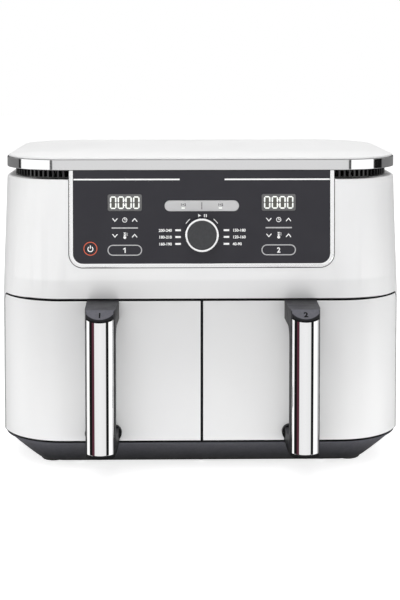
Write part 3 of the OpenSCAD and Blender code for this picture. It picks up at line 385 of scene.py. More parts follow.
def coated_pan(name):
    """Dark ceramic non-stick coating with fine pale speckles and orange-peel."""
    mat, tree, bsdf = shader(name, (0.07, 0.07, 0.075), 0.38, coat=0.15)
    speckle = noise(tree, 1500, 1)
    ramp = tree.nodes.new("ShaderNodeValToRGB")
    ramp.color_ramp.elements[0].position = 0.68
    ramp.color_ramp.elements[0].color = (0.065, 0.065, 0.07, 1)
    ramp.color_ramp.elements[1].position = 0.74
    ramp.color_ramp.elements[1].color = (0.2, 0.2, 0.21, 1)
    tree.links.new(speckle, ramp.inputs["Fac"])
    tree.links.new(ramp.outputs["Color"], bsdf.inputs["Base Color"])
    bump(tree, bsdf, noise(tree, 450, 2), 0.04, 0.5)
    return mat


def circuit_board(name):
    """Green solder mask with paler tracks."""
    mat, tree, bsdf = shader(name, (0.03, 0.16, 0.08), 0.35, coat=0.3)
    vary(tree, bsdf, "Base Color", noise(tree, 160, 1, (3, 1, 1)), (0.02, 0.12, 0.06), (0.05, 0.24, 0.12))
    return mat


def printed(name, color, glow=0.0, specular=0.5):
    """Ink or a lit segment on the panel."""
    mat, tree, bsdf = shader(name, color, 0.45, specular=specular)
    vary(tree, bsdf, "Roughness", noise(tree, 300, 1), 0.4, 0.5)
    bsdf.inputs["Emission Color"].default_value = (*color, 1)
    bsdf.inputs["Emission Strength"].default_value = glow
    return mat


WHITE = white_plastic("white_moulding", (0.88, 0.88, 0.885), (0.90, 0.90, 0.90))
# Painted shade: the drawer fronts' front faces darken towards their top edge.
paint_front_shade(WHITE, DRAWER_LOW.z, DRAWER_HIGH.z, 1.0, 0.84)
SHELL_WHITE = white_plastic("white_shell", (0.895, 0.895, 0.90), (0.915, 0.915, 0.915))
# Painted shade: the shell's front faces are darker in a strip just above the seam.
paint_front_shade(SHELL_WHITE, SEAM_Z + SHADED_STRIP_H - SHADED_STRIP_BLEND, SEAM_Z + SHADED_STRIP_H + SHADED_STRIP_BLEND, 0.92, 1.0)
# Painted shade: undersides, the edge by the seam and the ledge under the intake go near-black.
paint_gap_shade(SHELL_WHITE, (0.006, 0.006, 0.007))
COVER_WHITE = white_plastic("white_cover", (0.895, 0.895, 0.895), (0.915, 0.915, 0.915))
# Near-black used as painted shade in seams and gaps, and as the colour of the grip's dark upper rim.
SEAM_SHADE_AND_GRIP_RIM = grained_plastic("seam_shade_and_grip_rim", (0.005, 0.005, 0.006), (0.008, 0.008, 0.009), 0.6, specular=0.05)
BASE_DARK = grained_plastic("base_grain", (0.040, 0.040, 0.047), (0.052, 0.052, 0.060), 0.42)
SKIRT_DARK = grained_plastic("skirt_grain", (0.10, 0.10, 0.115), (0.115, 0.115, 0.132), 0.45,
                             specular=0.08)
# Painted shade: the skirt darkens towards the floor and along a thin line at its top under the drawers.
fade(SKIRT_DARK, "Z", (0, DRAWER_LOW.z), ((0, 0.04), (0.2, 0.12), (0.93, 1.0), (0.955, 0.06), (1, 0.06)))
HANDLE_DARK = grained_plastic("handle_grain", (0.088, 0.088, 0.101), (0.100, 0.100, 0.115), 0.45,
                              specular=0.12)
# Painted shade: the handle frame darkens towards its root at the drawer and at its lower end; painted light
# and shade by facing keeps its sides dark and lights its upper faces.
fade(HANDLE_DARK, "Y", (FRONT_Y + 2, FRONT_Y - 50), ((0, 0.15), (0.6, 0.7), (1, 1.0)))
fade(HANDLE_DARK, "Z", (HANDLE_LOW.z, HANDLE_LOW.z + 6), ((0, 0.15), (0.7, 0.25), (1, 1.0)))
paint_light_by_facing(HANDLE_DARK, 0.17, 0.66, 1.0)
BLACK = grained_plastic("black_moulding", (0.012, 0.012, 0.013), (0.018, 0.018, 0.02), 0.45)
INTAKE = gloss_plastic("intake_gloss", (0.008, 0.008, 0.009), (0.012, 0.012, 0.013), 0.22, 0.2)
LENS = gloss_plastic("lens_gloss", (0.017, 0.016, 0.023), (0.020, 0.019, 0.026), 0.2, 0.02, 0.36)
DISPLAY = gloss_plastic("display_gloss", (0.122, 0.122, 0.124), (0.138, 0.138, 0.140), 0.2, 0.1)
RUBBER = grained_plastic("rubber", (0.018, 0.018, 0.018), (0.03, 0.03, 0.03), 0.75, 900, 0.08)
SILICONE = grained_plastic("silicone", (0.035, 0.035, 0.037), (0.05, 0.05, 0.052), 0.65, 700, 0.05)
CHROME = metal("handle_chrome", (0.93, 0.93, 0.935), 0.035, wear=0.985)
BAND_METAL = metal("band_steel", (0.69, 0.69, 0.695), 0.07, (1, 1, 40), 0.003, 0.97)
SATIN = metal("satin_silver", (0.95, 0.95, 0.955), 0.22, wear=0.985)
RING = metal("dial_ring_silver", (0.97, 0.97, 0.975), 0.16, wear=0.985)
STEEL = metal("sheet_steel", (0.56, 0.56, 0.57), 0.34, (30, 1, 1))
ZINC = metal("zinc", (0.62, 0.62, 0.64), 0.38)
OXIDE = metal("heater_oxide", (0.20, 0.185, 0.17), 0.5)
ALUMINIUM = metal("fan_aluminium", (0.66, 0.66, 0.67), 0.3, (1, 1, 20))
PAN = coated_pan("pan_coating")
BOARD = circuit_board("board_mask")
KEY = gloss_plastic("key_silver", (0.575, 0.575, 0.58), (0.615, 0.615, 0.62), 0.3, 0.1)
KNOB = grained_plastic("knob_face", (0.030, 0.031, 0.034), (0.038, 0.039, 0.043), 0.40, 4200, 0.02)
INK = printed("white_ink", (0.88, 0.88, 0.88), 0.18)
LIT = printed("lit_segment", (0.90, 0.92, 0.88), 0.25)
UNLIT = printed("unlit_segment", (0.095, 0.095, 0.082))
GREY_INK = printed("grey_ink", (0.50, 0.50, 0.51), 0.05)
DARK_INK = printed("dark_ink", (0.005, 0.005, 0.005), specular=0.08)
RED_INK = printed("red_ink", (0.60, 0.10, 0.045), 0.1)

FINISHES = {
    "housing_shell": SHELL_WHITE, "base_skirt": SKIRT_DARK, "bottom_plate": BLACK, "rubber_feet": RUBBER,
    "base_screws": ZINC, "bay_frame": BASE_DARK, "trim_band": BAND_METAL, "top_cover": COVER_WHITE,
    "vent_grille": INTAKE, "panel_bezel": SATIN, "panel_lens": LENS, "panel_carrier": BLACK,
    "display": DISPLAY, "control_board": BOARD, "encoder_body": ZINC, "chamber_liner": STEEL,
    "air_shroud": STEEL, "exhaust_grille": BASE_DARK, "heater": OXIDE, "heater_guard": STEEL,
    "motor": ZINC, "temperature_probes": STEEL, "drawer_switches": BLACK, "board_carrier": BLACK,
    "power_board": BOARD, "cord_gland": RUBBER, "drawer_front": WHITE, "drawer_backing": BASE_DARK,
    "basket": PAN, "handle_frame": HANDLE_DARK, "handle_cover": CHROME, "handle_screws": ZINC,
    "crisper_plate": PAN, "plate_bumpers": SILICONE, "hot_fan": ALUMINIUM, "cooling_fan": BLACK,
    "dial_knob": KNOB, "dial_ring": SATIN, "dial_shaft": ZINC, "dial_plunger": BLACK,
    "mode_rocker": KEY,
}


def slot_of(node):
    """The record's slot of a node: its name without the side."""
    return node.removesuffix("_left").removesuffix("_right")


def finish_nodes():
    """Gives every carried-over CAD node its material."""
    for name, obj in NODES.items():
        obj.data.materials.clear()
        obj.data.materials.append(FINISHES[slot_of(name)])


# Edge radius and bevel steps of the CAD nodes that stay in sight, by slot.
SOFT_EDGES = {
    "housing_shell": (0.7, 2), "base_skirt": (0.5, 2), "panel_bezel": (0.5, 2), "display": (0.25, 2),
    "mode_rocker": (0.6, 2), "handle_frame": (0.6, 3), "exhaust_grille": (0.5, 2), "basket": (0.5, 2),
    "drawer_backing": (0.4, 2), "rubber_feet": (0.8, 2), "cord_gland": (0.8, 2), "bay_frame": (0.4, 2),
}


def soften_nodes():
    """Rounds the edges of the CAD nodes that stay in sight."""
    for name, obj in NODES.items():
        if slot_of(name) in SOFT_EDGES:
            soften(obj, *SOFT_EDGES[slot_of(name)])


def place(obj, body, slot, mat, *nodes):
    """Finishes a piece, lets it ride on a body and, if nodes are given, stand for them."""
    obj.data.materials.clear()
    obj.data.materials.append(mat)
    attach(obj, body)
    if nodes:
        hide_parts(*nodes)


# ---------- camera, floor and light ----------

SENSOR_W = 36
FOCAL_PX = 1263.0
FRAME_PX = (400, 600)
CAMERA_BACK = 1261.0
CAMERA_Z = 429.0
AZIMUTH = math.radians(-1.0)
TILT = math.radians(3.1)
SHIFT_UP = -0.3


def make_camera():
    """The photo's view: above the front and tilted a little down, with the picture shifted to frame it."""
    data = bpy.data.cameras.new("camera")
    cam = bpy.data.objects.new("camera", data)
    bpy.context.scene.collection.objects.link(cam)
    data.sensor_width = SENSOR_W
    data.lens = FOCAL_PX / FRAME_PX[1] * SENSOR_W
    data.shift_y = SHIFT_UP
    back = CAMERA_BACK - FRONT_Y
    cam.location = Vector((back * math.sin(AZIMUTH), -back * math.cos(AZIMUTH), CAMERA_Z)) * MM
    cam.rotation_euler = (math.pi / 2 - TILT, 0, AZIMUTH)
    data.clip_start = 0.05
    bpy.context.scene.camera = cam


FLOOR_LIFT = 0.74


def make_floor():
    """A pale floor that keeps the shadow and shows white where nothing shades it."""
    bpy.ops.mesh.primitive_plane_add(size=14)
    floor = bpy.context.object
    floor.name = "floor"
    mat, tree, bsdf = shader("floor_pale", (0.86, 0.86, 0.86), 0.9, specular=0.1)
    path = tree.nodes.new("ShaderNodeLightPath")
    bsdf.inputs["Emission Color"].default_value = (1, 1, 1, 1)
    lift = math_node(tree, "MULTIPLY", path.outputs["Is Camera Ray"], FLOOR_LIFT)
    tree.links.new(lift, bsdf.inputs["Emission Strength"])
    floor.data.materials.append(mat)
    floor.visible_glossy = False


def add_area(name, place_at, target, size, power):
    """A soft rectangular lamp aimed at a point; lengths in metres."""
    data = bpy.data.lights.new(name, "AREA")
    data.shape = "RECTANGLE"
    data.size, data.size_y = size
    data.energy = power
    lamp = bpy.data.objects.new(name, data)
    bpy.context.scene.collection.objects.link(lamp)
    lamp.location = place_at
    lamp.rotation_euler = (Vector(target) - Vector(place_at)).to_track_quat("-Z", "Y").to_euler()
    lamp.visible_glossy = False
    lamp.visible_camera = False


EVEN_LIGHT = 0.47
FLAG = 0.01
WINE = (0.10, 0.03, 0.045)
REAR = 0.3

# What gloss sees round the object, as (degrees from the front, level): bright walls and dark flags.
ROOM_LOW = (
    (-180, REAR), (-118, REAR), (-112, 1.15), (-76, 1.15), (-74, FLAG), (-56, FLAG),
    (-52, WINE), (-39, WINE), (-37, 0.88), (0, 0.92), (37, 0.86),
    (38.5, FLAG), (55, FLAG), (57, 1.15), (82, 1.15), (100, REAR), (180, REAR),
)
ROOM_LEVEL = (
    (-180, 0.28), (-102, 0.26), (-100, FLAG), (-95, FLAG), (-93, 1.6), (-30, 1.6),
    (-28.5, FLAG), (-25.5, FLAG), (-24.5, 0.98), (0, 1.0), (23, 0.95),
    (24, FLAG), (27, FLAG), (28.5, 1.6), (75, 1.6), (77, FLAG), (98, FLAG), (100, 0.25), (180, 0.28),
)


def mix_shaders(tree, factor, first, second):
    """A choice between two shaders."""
    mix = tree.nodes.new("ShaderNodeMixShader")
    tree.links.new(factor, mix.inputs[0])
    tree.links.new(first, mix.inputs[1])
    tree.links.new(second, mix.inputs[2])
    return mix.outputs[0]


def room_color(tree):
    """Colour of the room by direction: walls below, walls level with the object and white above."""
    coord = tree.nodes.new("ShaderNodeTexCoord")
    split = tree.nodes.new("ShaderNodeSeparateXYZ")
    tree.links.new(coord.outputs["Generated"], split.inputs[0])
    x, y, z = split.outputs
    turn = math_node(tree, "ARCTAN2", x, math_node(tree, "MULTIPLY", y, -1.0))
    turn = math_node(tree, "ADD", math_node(tree, "MULTIPLY", turn, 0.5 / math.pi), 0.5)
    low, level = (ramp_of(tree, turn, [((degrees + 180) / 360, tone) for degrees, tone in walls])
                  for walls in (ROOM_LOW, ROOM_LEVEL))
    walls = mix_colors(tree, level_at(tree, z, -0.16, -0.13), low, level)
    return mix_colors(tree, level_at(tree, z, 0.12, 0.35), walls, (1, 1, 1))


def make_world():
    """An even studio: white to the camera, even on surfaces, and for gloss a room with dark flags."""
    world = bpy.data.worlds.new("studio")
    bpy.context.scene.world = world
    world.use_nodes = True
    tree = world.node_tree
    even = tree.nodes["Background"]
    even.inputs["Color"].default_value = (1, 1, 1, 1)
    even.inputs["Strength"].default_value = EVEN_LIGHT
    gloss = tree.nodes.new("ShaderNodeBackground")
    tree.links.new(room_color(tree), gloss.inputs["Color"])
    seen = tree.nodes.new("ShaderNodeBackground")
    seen.inputs["Color"].default_value = (1, 1, 1, 1)
    path = tree.nodes.new("ShaderNodeLightPath")
    lit = mix_shaders(tree, path.outputs["Is Glossy Ray"], even.outputs[0], gloss.outputs[0])
    by_eye = path.outputs["Is Camera Ray"]
    straight = math_node(tree, "MAXIMUM", by_eye, path.outputs["Is Transmission Ray"])
    surface = tree.nodes["World Output"].inputs["Surface"]
    tree.links.new(mix_shaders(tree, straight, lit, seen.outputs[0]), surface)


# Name, place and target in metres, size in metres, power in watts.
LAMPS = (
    ("key", (-0.5, -1.9, 2.1), (0, 0, 0.15), (1.8, 1.2), 16.5),
    ("front", (0, -1.7, 0.55), (0, 0, 0.18), (1.6, 0.5), 3.4),
    ("fill", (2.1, -1.3, 1.1), (0, 0, 0.15), (1.4, 1.4), 1.0),
    ("back", (0.3, 1.9, 1.6), (0, 0, 0.15), (2.0, 1.0), 22.0),
    ("top", (0, -0.1, 1.5), (0, -0.05, 0.3), (1.4, 1.0), 4.2),
    ("low_left", (-0.55, -0.30, 0.09), (-0.15, -0.05, 0.11), (0.25, 0.16), 0.2),
    ("near_front", (0, -0.25, 0.012), (0, -0.11, 0.09), (0.8, 0.03), 0.12),
    ("near_right", (0.40, -0.16, 0.07), (0.2, -0.06, 0.10), (0.12, 0.1), 0.09),
)


def make_lights():
    """Soft lamps that shape the even light; the low ones stand for a white sweep round the object."""
    for lamp in LAMPS:
        add_area(*lamp)


# ---------- drawer fronts ----------

def darken(obj, is_dark):
    """Gives the near-black seam colour to the faces whose corners, in millimetres, pass a test: painted
    shade in gaps, and the grip's dark rim.
    """
    obj.data.materials.append(SEAM_SHADE_AND_GRIP_RIM)
    for poly in obj.data.polygons:
        if is_dark([obj.data.vertices[i].co / MM for i in poly.vertices]):
            poly.material_index = 1


def weigh(obj):
    """Lets large faces keep their own direction beside small rounded edges."""
    mod = obj.modifiers.new("weigh", "WEIGHTED_NORMAL")
    mod.keep_sharp = True


SEAM_HALF = DRAWER_LOW.x
HOOK_R = 9.0
DRAWER_DEPTH = 13.0
WALL = 2.6
EDGE_R = 1.2
BACK_EDGE = 0.3
CORNER_Y = FRONT_Y + CORNER_R


def edge_profile(steps=4):
    """(inset, depth) pairs from the face, over its rounded edge and the rim, to the back of the wall."""
    turn = [math.radians(90 * i / steps) for i in range(steps + 1)]
    rounded = [(EDGE_R * (1 - math.sin(t)), EDGE_R * (1 - math.cos(t))) for t in turn]
    rim = [(0, DRAWER_DEPTH - BACK_EDGE), (BACK_EDGE, DRAWER_DEPTH), (WALL, DRAWER_DEPTH)]
    return rounded + rim + [(WALL, WALL)]


def turn_to(y, depth):
    """Angle round the front corner at which a line that lies this deep reaches a given Y."""
    return math.acos((CORNER_Y - y) / (CORNER_R - depth))


def wrap_point(angle, depth):
    """Point of the round corner at an angle from the front, at a depth under the outline."""
    r = CORNER_R - depth
    return FLAT_X + r * math.sin(angle), CORNER_Y - r * math.cos(angle)


def front_loop(inset, depth):
    """Upper and lower border of the wrapped front as (x, y, z), set in by some distance."""
    high, low = DRAWER_HIGH.z - inset, DRAWER_LOW.z + inset
    places = [(SEAM_HALF + inset + (FLAT_X - SEAM_HALF - inset) * i / 5, FRONT_Y + depth) for i in range(5)]
    hook_start = turn_to(WRAP_Y - HOOK_R, depth)
    places += [wrap_point(hook_start * i / 20, depth) for i in range(21)]
    top = [(x, y, high) for x, y in places]
    bottom = [(x, y, low) for x, y in places]
    for i in range(1, 8):
        a = math.radians(90 * i / 7)
        y = WRAP_Y - HOOK_R + (HOOK_R - inset) * math.sin(a)
        x, y = wrap_point(turn_to(y, depth), depth)
        top.append((x, y, DRAWER_HIGH.z - HOOK_R + (HOOK_R - inset) * math.cos(a)))
        bottom.append((x, y, low))
    return top, bottom


def make_drawer_front(side, sign):
    """White moulded front that wraps round the corner, with rounded edges and a deep rim; all but the first
    sliver of the rounded edges and the rim carry painted shade of the seam.
    """
    verts = []
    profile = edge_profile()
    for inset, depth in profile:
        top, bottom = front_loop(inset, depth)
        verts += [(sign * x, y, z) for x, y, z in top + bottom[::-1]]
    half = len(top)
    count = 2 * half
    faces = grid_faces(len(profile), count, wrap=True)
    for base in (0, (len(profile) - 1) * count):
        for i in range(half - 1):
            a, b = base + i, base + i + 1
            faces.append((a, b, base + count - 2 - i, base + count - 1 - i))
    obj = add_mesh("drawer_front_" + side, verts, faces)
    sharpen(obj, 32)
    weigh(obj)
    place(obj, side + "_drawer", "drawer_front", WHITE, "drawer_front_" + side)
    # Painted shade: faces set back from the face, most of the rounded edge and the rim, take the near-black
    # seam colour.
    darken(obj, lambda points: min(depth_of(p) for p in points) > 0.05 * EDGE_R)


def depth_of(point):
    """How deep a point lies under the body's outline at the front."""
    x, y = abs(point.x), point.y
    if x <= FLAT_X:
        return y - FRONT_Y
    return CORNER_R - math.hypot(x - FLAT_X, y - CORNER_Y)


# ---------- band and cover, swept round the body ----------

def body_ring(inset, z, steps=28):
    """Points round the body's whole outline, set in by some distance."""
    points = []
    r = max(CORNER_R - inset, 0.0)
    for quarter_turn, (sx, sy) in enumerate(((1, 1), (-1, 1), (-1, -1), (1, -1))):
        cx = sx * FLAT_X
        cy = REAR_Y - CORNER_R if sy > 0 else CORNER_Y
        for i in range(steps + 1):
            a = math.radians(90 * (quarter_turn + i / steps))
            points.append((cx + r * math.cos(a), cy + r * math.sin(a), z))
    return points


def sweep_body(name, profile, closed):
    """Sweeps (inset, height) pairs round the body; an open profile is capped at both ends."""
    verts = []
    for inset, z in profile:
        verts += body_ring(inset, z)
    count = len(body_ring(0, 0))
    rows = len(profile)
    faces = grid_faces(rows, count, wrap=True)
    last = (rows - 1) * count
    if closed:
        faces += [(last + i, last + (i + 1) % count, (i + 1) % count, i) for i in range(count)]
    else:
        faces += [tuple(range(count)), tuple(range(last, last + count))]
    obj = add_mesh(name, verts, faces)
    sharpen(obj, 32)
    weigh(obj)
    return obj


BAND_IN = HALF_W - BAND_HIGH.x
BAND_T = 1.2
BAND_ROLL = 0.45
FLANGE_IN = BAND_IN + 14.0
COVER_RIM = 1.7


def make_band():
    """Bright metal band with small rolled edges and a flange under the cover; painted shade darkens the top
    of its upper roll.
    """
    low = BAND_LOW.z
    high = BAND_HIGH.z - COVER_RIM
    centre_in = BAND_IN + BAND_ROLL
    profile = [(FLANGE_IN, low)]
    profile += arc((centre_in, low + BAND_ROLL), BAND_ROLL, 270, 180, 4)
    profile += arc((centre_in, high - BAND_ROLL), BAND_ROLL, 180, 90, 4)
    profile += [(BAND_IN + BAND_T, high), (BAND_IN + BAND_T, low + BAND_T), (FLANGE_IN, low + BAND_T)]
    obj = sweep_body("trim_band", profile, closed=True)
    place(obj, "housing", "trim_band", BAND_METAL, "trim_band")
    # Painted shade: a near-black line along the top of the upper roll, under the cover.
    darken(obj, lambda points: min(p.z for p in points) > high - 0.35 * BAND_ROLL)


TOP_HIGH = box_mm("top_cover")[1]
COVER_IN = HALF_W - TOP_HIGH.x
COVER_ROLL = 1.7
DOME_DROP = 3.3


def dome_z(inset):
    """Height of the domed cover at an inset from the body's outline."""
    reach = CORNER_R - COVER_IN
    radius = (reach ** 2 + DOME_DROP ** 2) / (2 * DOME_DROP)
    return TOP_HIGH.z - radius + math.sqrt(radius ** 2 - (CORNER_R - inset) ** 2)


def make_cover():
    """White cover: upright edge, rolled over into a shallow dome round a flat middle."""
    start = COVER_IN + COVER_ROLL
    inner = COVER_IN + WALL
    deck = BAND_HIGH.z + 1 - WALL
    rim = BAND_HIGH.z - COVER_RIM + 0.2
    profile = [(CORNER_R, deck), (inner, deck), (inner, rim), (COVER_IN, rim)]
    profile += arc((start, dome_z(start) - COVER_ROLL), COVER_ROLL, 180, 93, 8)
    for i in range(1, 15):
        inset = start + (CORNER_R - start) * i / 14
        profile.append((inset, dome_z(inset)))
    obj = sweep_body("top_cover", profile, closed=False)
    place(obj, "housing", "top_cover", COVER_WHITE, "top_cover")


# ---------- chrome handle covers ----------

GRIP_LOW, GRIP_HIGH = box_mm("handle_cover_right")
HANDLE_X = (GRIP_LOW.x + GRIP_HIGH.x) / 2
GRIP_HALF = (GRIP_HIGH.x - GRIP_LOW.x) / 2
GRIP_FRONT = GRIP_LOW.y
GRIP_CROWN = 6.0
GRIP_R = (GRIP_HALF ** 2 + GRIP_CROWN ** 2) / (2 * GRIP_CROWN)
CORNER_TURN = math.radians(5)
GRIP_T = 1.2
END_R = 0.5
CAP_RUN = 10.0
CAP_DROP = 7.3
GRIP_SLOPE = 0.34
RIM_DARK = 1.5


def grip_plan():
    """Points and outward normals of the cover seen from above: sides, small corners and crowned front."""
    bend = math.asin(GRIP_HALF / GRIP_R) - CORNER_TURN
    centre = Vector((0, GRIP_FRONT + GRIP_R))
    front = []
    for i in range(41):
        a = bend * (i / 20 - 1)
        normal = Vector((math.sin(a), -math.cos(a)))
        front.append((centre + normal * GRIP_R, normal))
    end = front[-1][0]
    corner_r = (GRIP_HALF - end.x) / (1 - math.sin(bend))
    corner = Vector((GRIP_HALF - corner_r, end.y + corner_r * math.cos(bend)))
    right = []
    for i in range(1, 6):
        a = bend + (math.pi / 2 - bend) * i / 5
        normal = Vector((math.sin(a), -math.cos(a)))
        right.append((corner + normal * corner_r, normal))
    right.append((Vector((GRIP_HALF, GRIP_HIGH.y)), Vector((1, 0))))
    left = [(Vector((-p.x, p.y)), Vector((-n.x, n.y))) for p, n in right[::-1]]
    return left + front + right


def grip_top(y):
    """Height of the cover's upper edge at a depth: it rises to the back."""
    return GRIP_HIGH.z - (GRIP_HIGH.y - y) * GRIP_SLOPE


def grip_rows():
    """(inset, share of the height, rise) from the lower end up the outside and down the inside."""
    turn = [math.radians(30 * i) for i in range(4)]
    below = [(END_R * (1 - math.sin(t)), 0.0, END_R * (1 - math.cos(t))) for t in turn]
    middle = [(0.0, share, 0.0) for share in (0.1, 0.3, 0.5, 0.7, 0.9)]
    above = [(inset, 1.0, -rise) for inset, share, rise in below[::-1]]
    return below + middle + [(0.0, 1.0, -RIM_DARK)] + above + [(GRIP_T, 1.0, 0.0), (GRIP_T, 0.0, 0.0)]


def is_grip_rim(points):
    """True for the outer faces along the cover's upper edge."""
    return len(points) == 4 and min(p.z - grip_top(p.y) for p in points) > -RIM_DARK - 0.4


def make_handle_cover(side, sign):
    """Polished cover round the front of the grip, with thin rounded ends and a dark upper rim."""
    plan = grip_plan()
    rows = grip_rows()
    verts = []
    for inset, share, rise in rows:
        for p, n in plan:
            q = p - n * inset
            z = GRIP_LOW.z + share * (grip_top(p.y) - GRIP_LOW.z) + rise
            verts.append((sign * (HANDLE_X + q.x), q.y, z))
    count = len(plan)
    last = (len(rows) - 1) * count
    faces = grid_faces(len(rows), count)
    faces += [(last + i, last + i + 1, i + 1, i) for i in range(count - 1)]
    for end in (0, count - 1):
        faces.append(tuple(r * count + end for r in range(len(rows))))
    obj = add_mesh("handle_cover_" + side, verts, faces)
    sharpen(obj, 35)
    weigh(obj)
    place(obj, side + "_drawer", "handle_cover", CHROME, "handle_cover_" + side)
    darken(obj, is_grip_rim)


# ---------- marks on the panel ----------

DISPLAY_LOW, DISPLAY_HIGH = box_mm("display_right")
DISPLAY_X = (DISPLAY_LOW.x + DISPLAY_HIGH.x) / 2
DISPLAY_V = 97.4
DIAL_V = (Vector(TURN["pos_m"]) / MM - Vector((0, FRONT_Y, SEAM_Z))).length
ROCKER_V = 94.1
PRINT_T = 0.12
FIGURE_SHARE = 0.73


def figure_mesh(words, height, weight, resolution, align_x="CENTER", align_y="TOP_BASELINE", thick=0.0):
    """Points and faces, in millimetres, of numbers in the plain built-in face; height is a figure's."""
    curve = bpy.data.curves.new("figures", "FONT")
    curve.body = words
    curve.size = height / FIGURE_SHARE
    curve.align_x = align_x
    curve.align_y = align_y
    curve.offset = weight
    curve.extrude = thick
    curve.resolution_u = resolution
    holder = bpy.data.objects.new("figures", curve)
    bpy.context.scene.collection.objects.link(holder)
    bpy.context.view_layer.update()
    mesh = bpy.data.meshes.new_from_object(holder.evaluated_get(bpy.context.evaluated_depsgraph_get()))
    points = [v.co.copy() for v in mesh.vertices]
    faces = [tuple(p.vertices) for p in mesh.polygons]
    bpy.data.objects.remove(holder)
    bpy.data.curves.remove(curve)
    bpy.data.meshes.remove(mesh)
    return points, faces


class Marks:
    """Gathers flat printed shapes on the panel's face into one thin piece."""

    def __init__(self, out=0.0):
        self.verts = []
        self.faces = []
        self.out = out

    def shape(self, loop):
        """A filled outline of (x, v) points with a thin edge."""
        base = len(self.verts)
        count = len(loop)
        self.verts += [on_face(x, v, self.out + PRINT_T) for x, v in loop]
        self.verts += [on_face(x, v, self.out - 0.05) for x, v in loop]
        self.faces.append(tuple(range(base, base + count)))
        self.faces += [(base + i, base + (i + 1) % count, base + count + (i + 1) % count, base + count + i)
                       for i in range(count)]

    def band(self, outer, inner, closed=True):
        """A stroke between two outlines with matching points."""
        count = len(outer)
        for i in range(count if closed else count - 1):
            k = (i + 1) % count
            self.shape([outer[i], outer[k], inner[k], inner[i]])

    def rect(self, x, v, w, h):
        """A bar centred on (x, v)."""
        corners = ((-1, -1), (1, -1), (1, 1), (-1, 1))
        self.shape([(x + i * w / 2, v + j * h / 2) for i, j in corners])

    def stroke(self, points, width):
        """A line of even width with square ends through some points."""
        for (x0, v0), (x1, v1) in zip(points, points[1:]):
            along = Vector((x1 - x0, v1 - v0)).normalized()
            across = Vector((-along.y, along.x)) * width / 2
            a, b = Vector((x0, v0)) - along * width * 0.3, Vector((x1, v1)) + along * width * 0.3
            self.shape([tuple(a - across), tuple(b - across), tuple(b + across), tuple(a + across)])

    def ring(self, x, v, radius, width, start=0.0, stop=360.0, steps=48):
        """A round line, or part of one between two angles."""
        outer = arc((x, v), radius, start, stop, steps)
        inner = arc((x, v), radius - width, start, stop, steps)
        if stop - start >= 360:
            self.band(outer[:-1], inner[:-1])
        else:
            self.band(outer, inner, closed=False)

    def disc(self, x, v, radius):
        """A filled circle."""
        self.shape(arc((x, v), radius, 0, 360, 24)[:-1])

    def pill(self, x, v, w, h, stroke):
        """The outline of a bar with round ends."""
        def loop(r):
            right = arc((x + (w - h) / 2, v), r, -90, 90, 12)
            left = arc((x - (w - h) / 2, v), r, 90, 270, 12)
            return right + left
        self.band(loop(h / 2), loop(h / 2 - stroke))

    def text(self, words, x, v, height, weight, align="CENTER"):
        """Numbers as a flat print, level with (x, v) at half their height."""
        points, faces = figure_mesh(words, height, weight, 4, align)
        base = len(self.verts)
        self.verts += [on_face(x + p.x, v - height / 2 + p.y, self.out + PRINT_T) for p in points]
        self.faces += [tuple(base + i for i in face) for face in faces]

    def finish(self, name, mat, body="housing", slot="panel_lens"):
        """Makes the piece and lets it ride on a body."""
        place(add_mesh(name, self.verts, self.faces, smooth=False), body, slot, mat)


SEGMENTS = {
    "top": ((0, 1), (1, 1)), "bottom": ((0, 0), (1, 0)),
    "upper_left": ((0, 0.5), (0, 1)), "upper_right": ((1, 0.5), (1, 1)),
    "lower_left": ((0, 0), (0, 0.5)), "lower_right": ((1, 0), (1, 0.5)),
}
DIGIT_X = (-11.6, -3.85, 3.85, 11.6)
DIGIT_W = 6.5
DIGIT_H = 12.8
SEGMENT_T = 1.4
SEGMENT_GAP = 0.18
COLON_V = 2.6
COLON_W = 1.0


def draw_segment(marks, x, v, name):
    """One pointed bar of a segment figure centred on (x, v)."""
    half = SEGMENT_T / 2
    size = Vector((DIGIT_W - SEGMENT_T, DIGIT_H - SEGMENT_T))
    start, stop = (Vector((x, v)) + size * (Vector(end) - Vector((0.5, 0.5))) for end in SEGMENTS[name])
    along = (stop - start).normalized()
    across = Vector((-along.y, along.x)) * half
    point = along * half
    a = start + along * SEGMENT_GAP
    b = stop - along * SEGMENT_GAP
    loop = (a, a + point - across, b - point - across, b, b - point + across, a + point + across)
    marks.shape([tuple(corner) for corner in loop])


def make_displays():
    """Two backlit windows that both show 00:00, with darker ground inside the figures."""
    lit = Marks()
    ground = Marks()
    inner_w = DIGIT_W - 2 * SEGMENT_T - 0.2
    inner_h = (DIGIT_H - 3 * SEGMENT_T) / 2 - 0.1
    for side, sign in SIDES:
        centre = sign * DISPLAY_X
        for x in DIGIT_X:
            for name in SEGMENTS:
                draw_segment(lit, centre + x, DISPLAY_V, name)
            ground.rect(centre + x, DISPLAY_V, inner_w, SEGMENT_T - 0.3)
            for way in (-1, 1):
                ground.rect(centre + x, DISPLAY_V + way * (SEGMENT_T + inner_h) / 2, inner_w, inner_h)
        for way in (-1, 1):
            lit.rect(centre, DISPLAY_V + way * COLON_V, COLON_W, COLON_W)
    lit.finish("display_figures", LIT, slot="display")
    ground.finish("display_ground", UNLIT, slot="display")


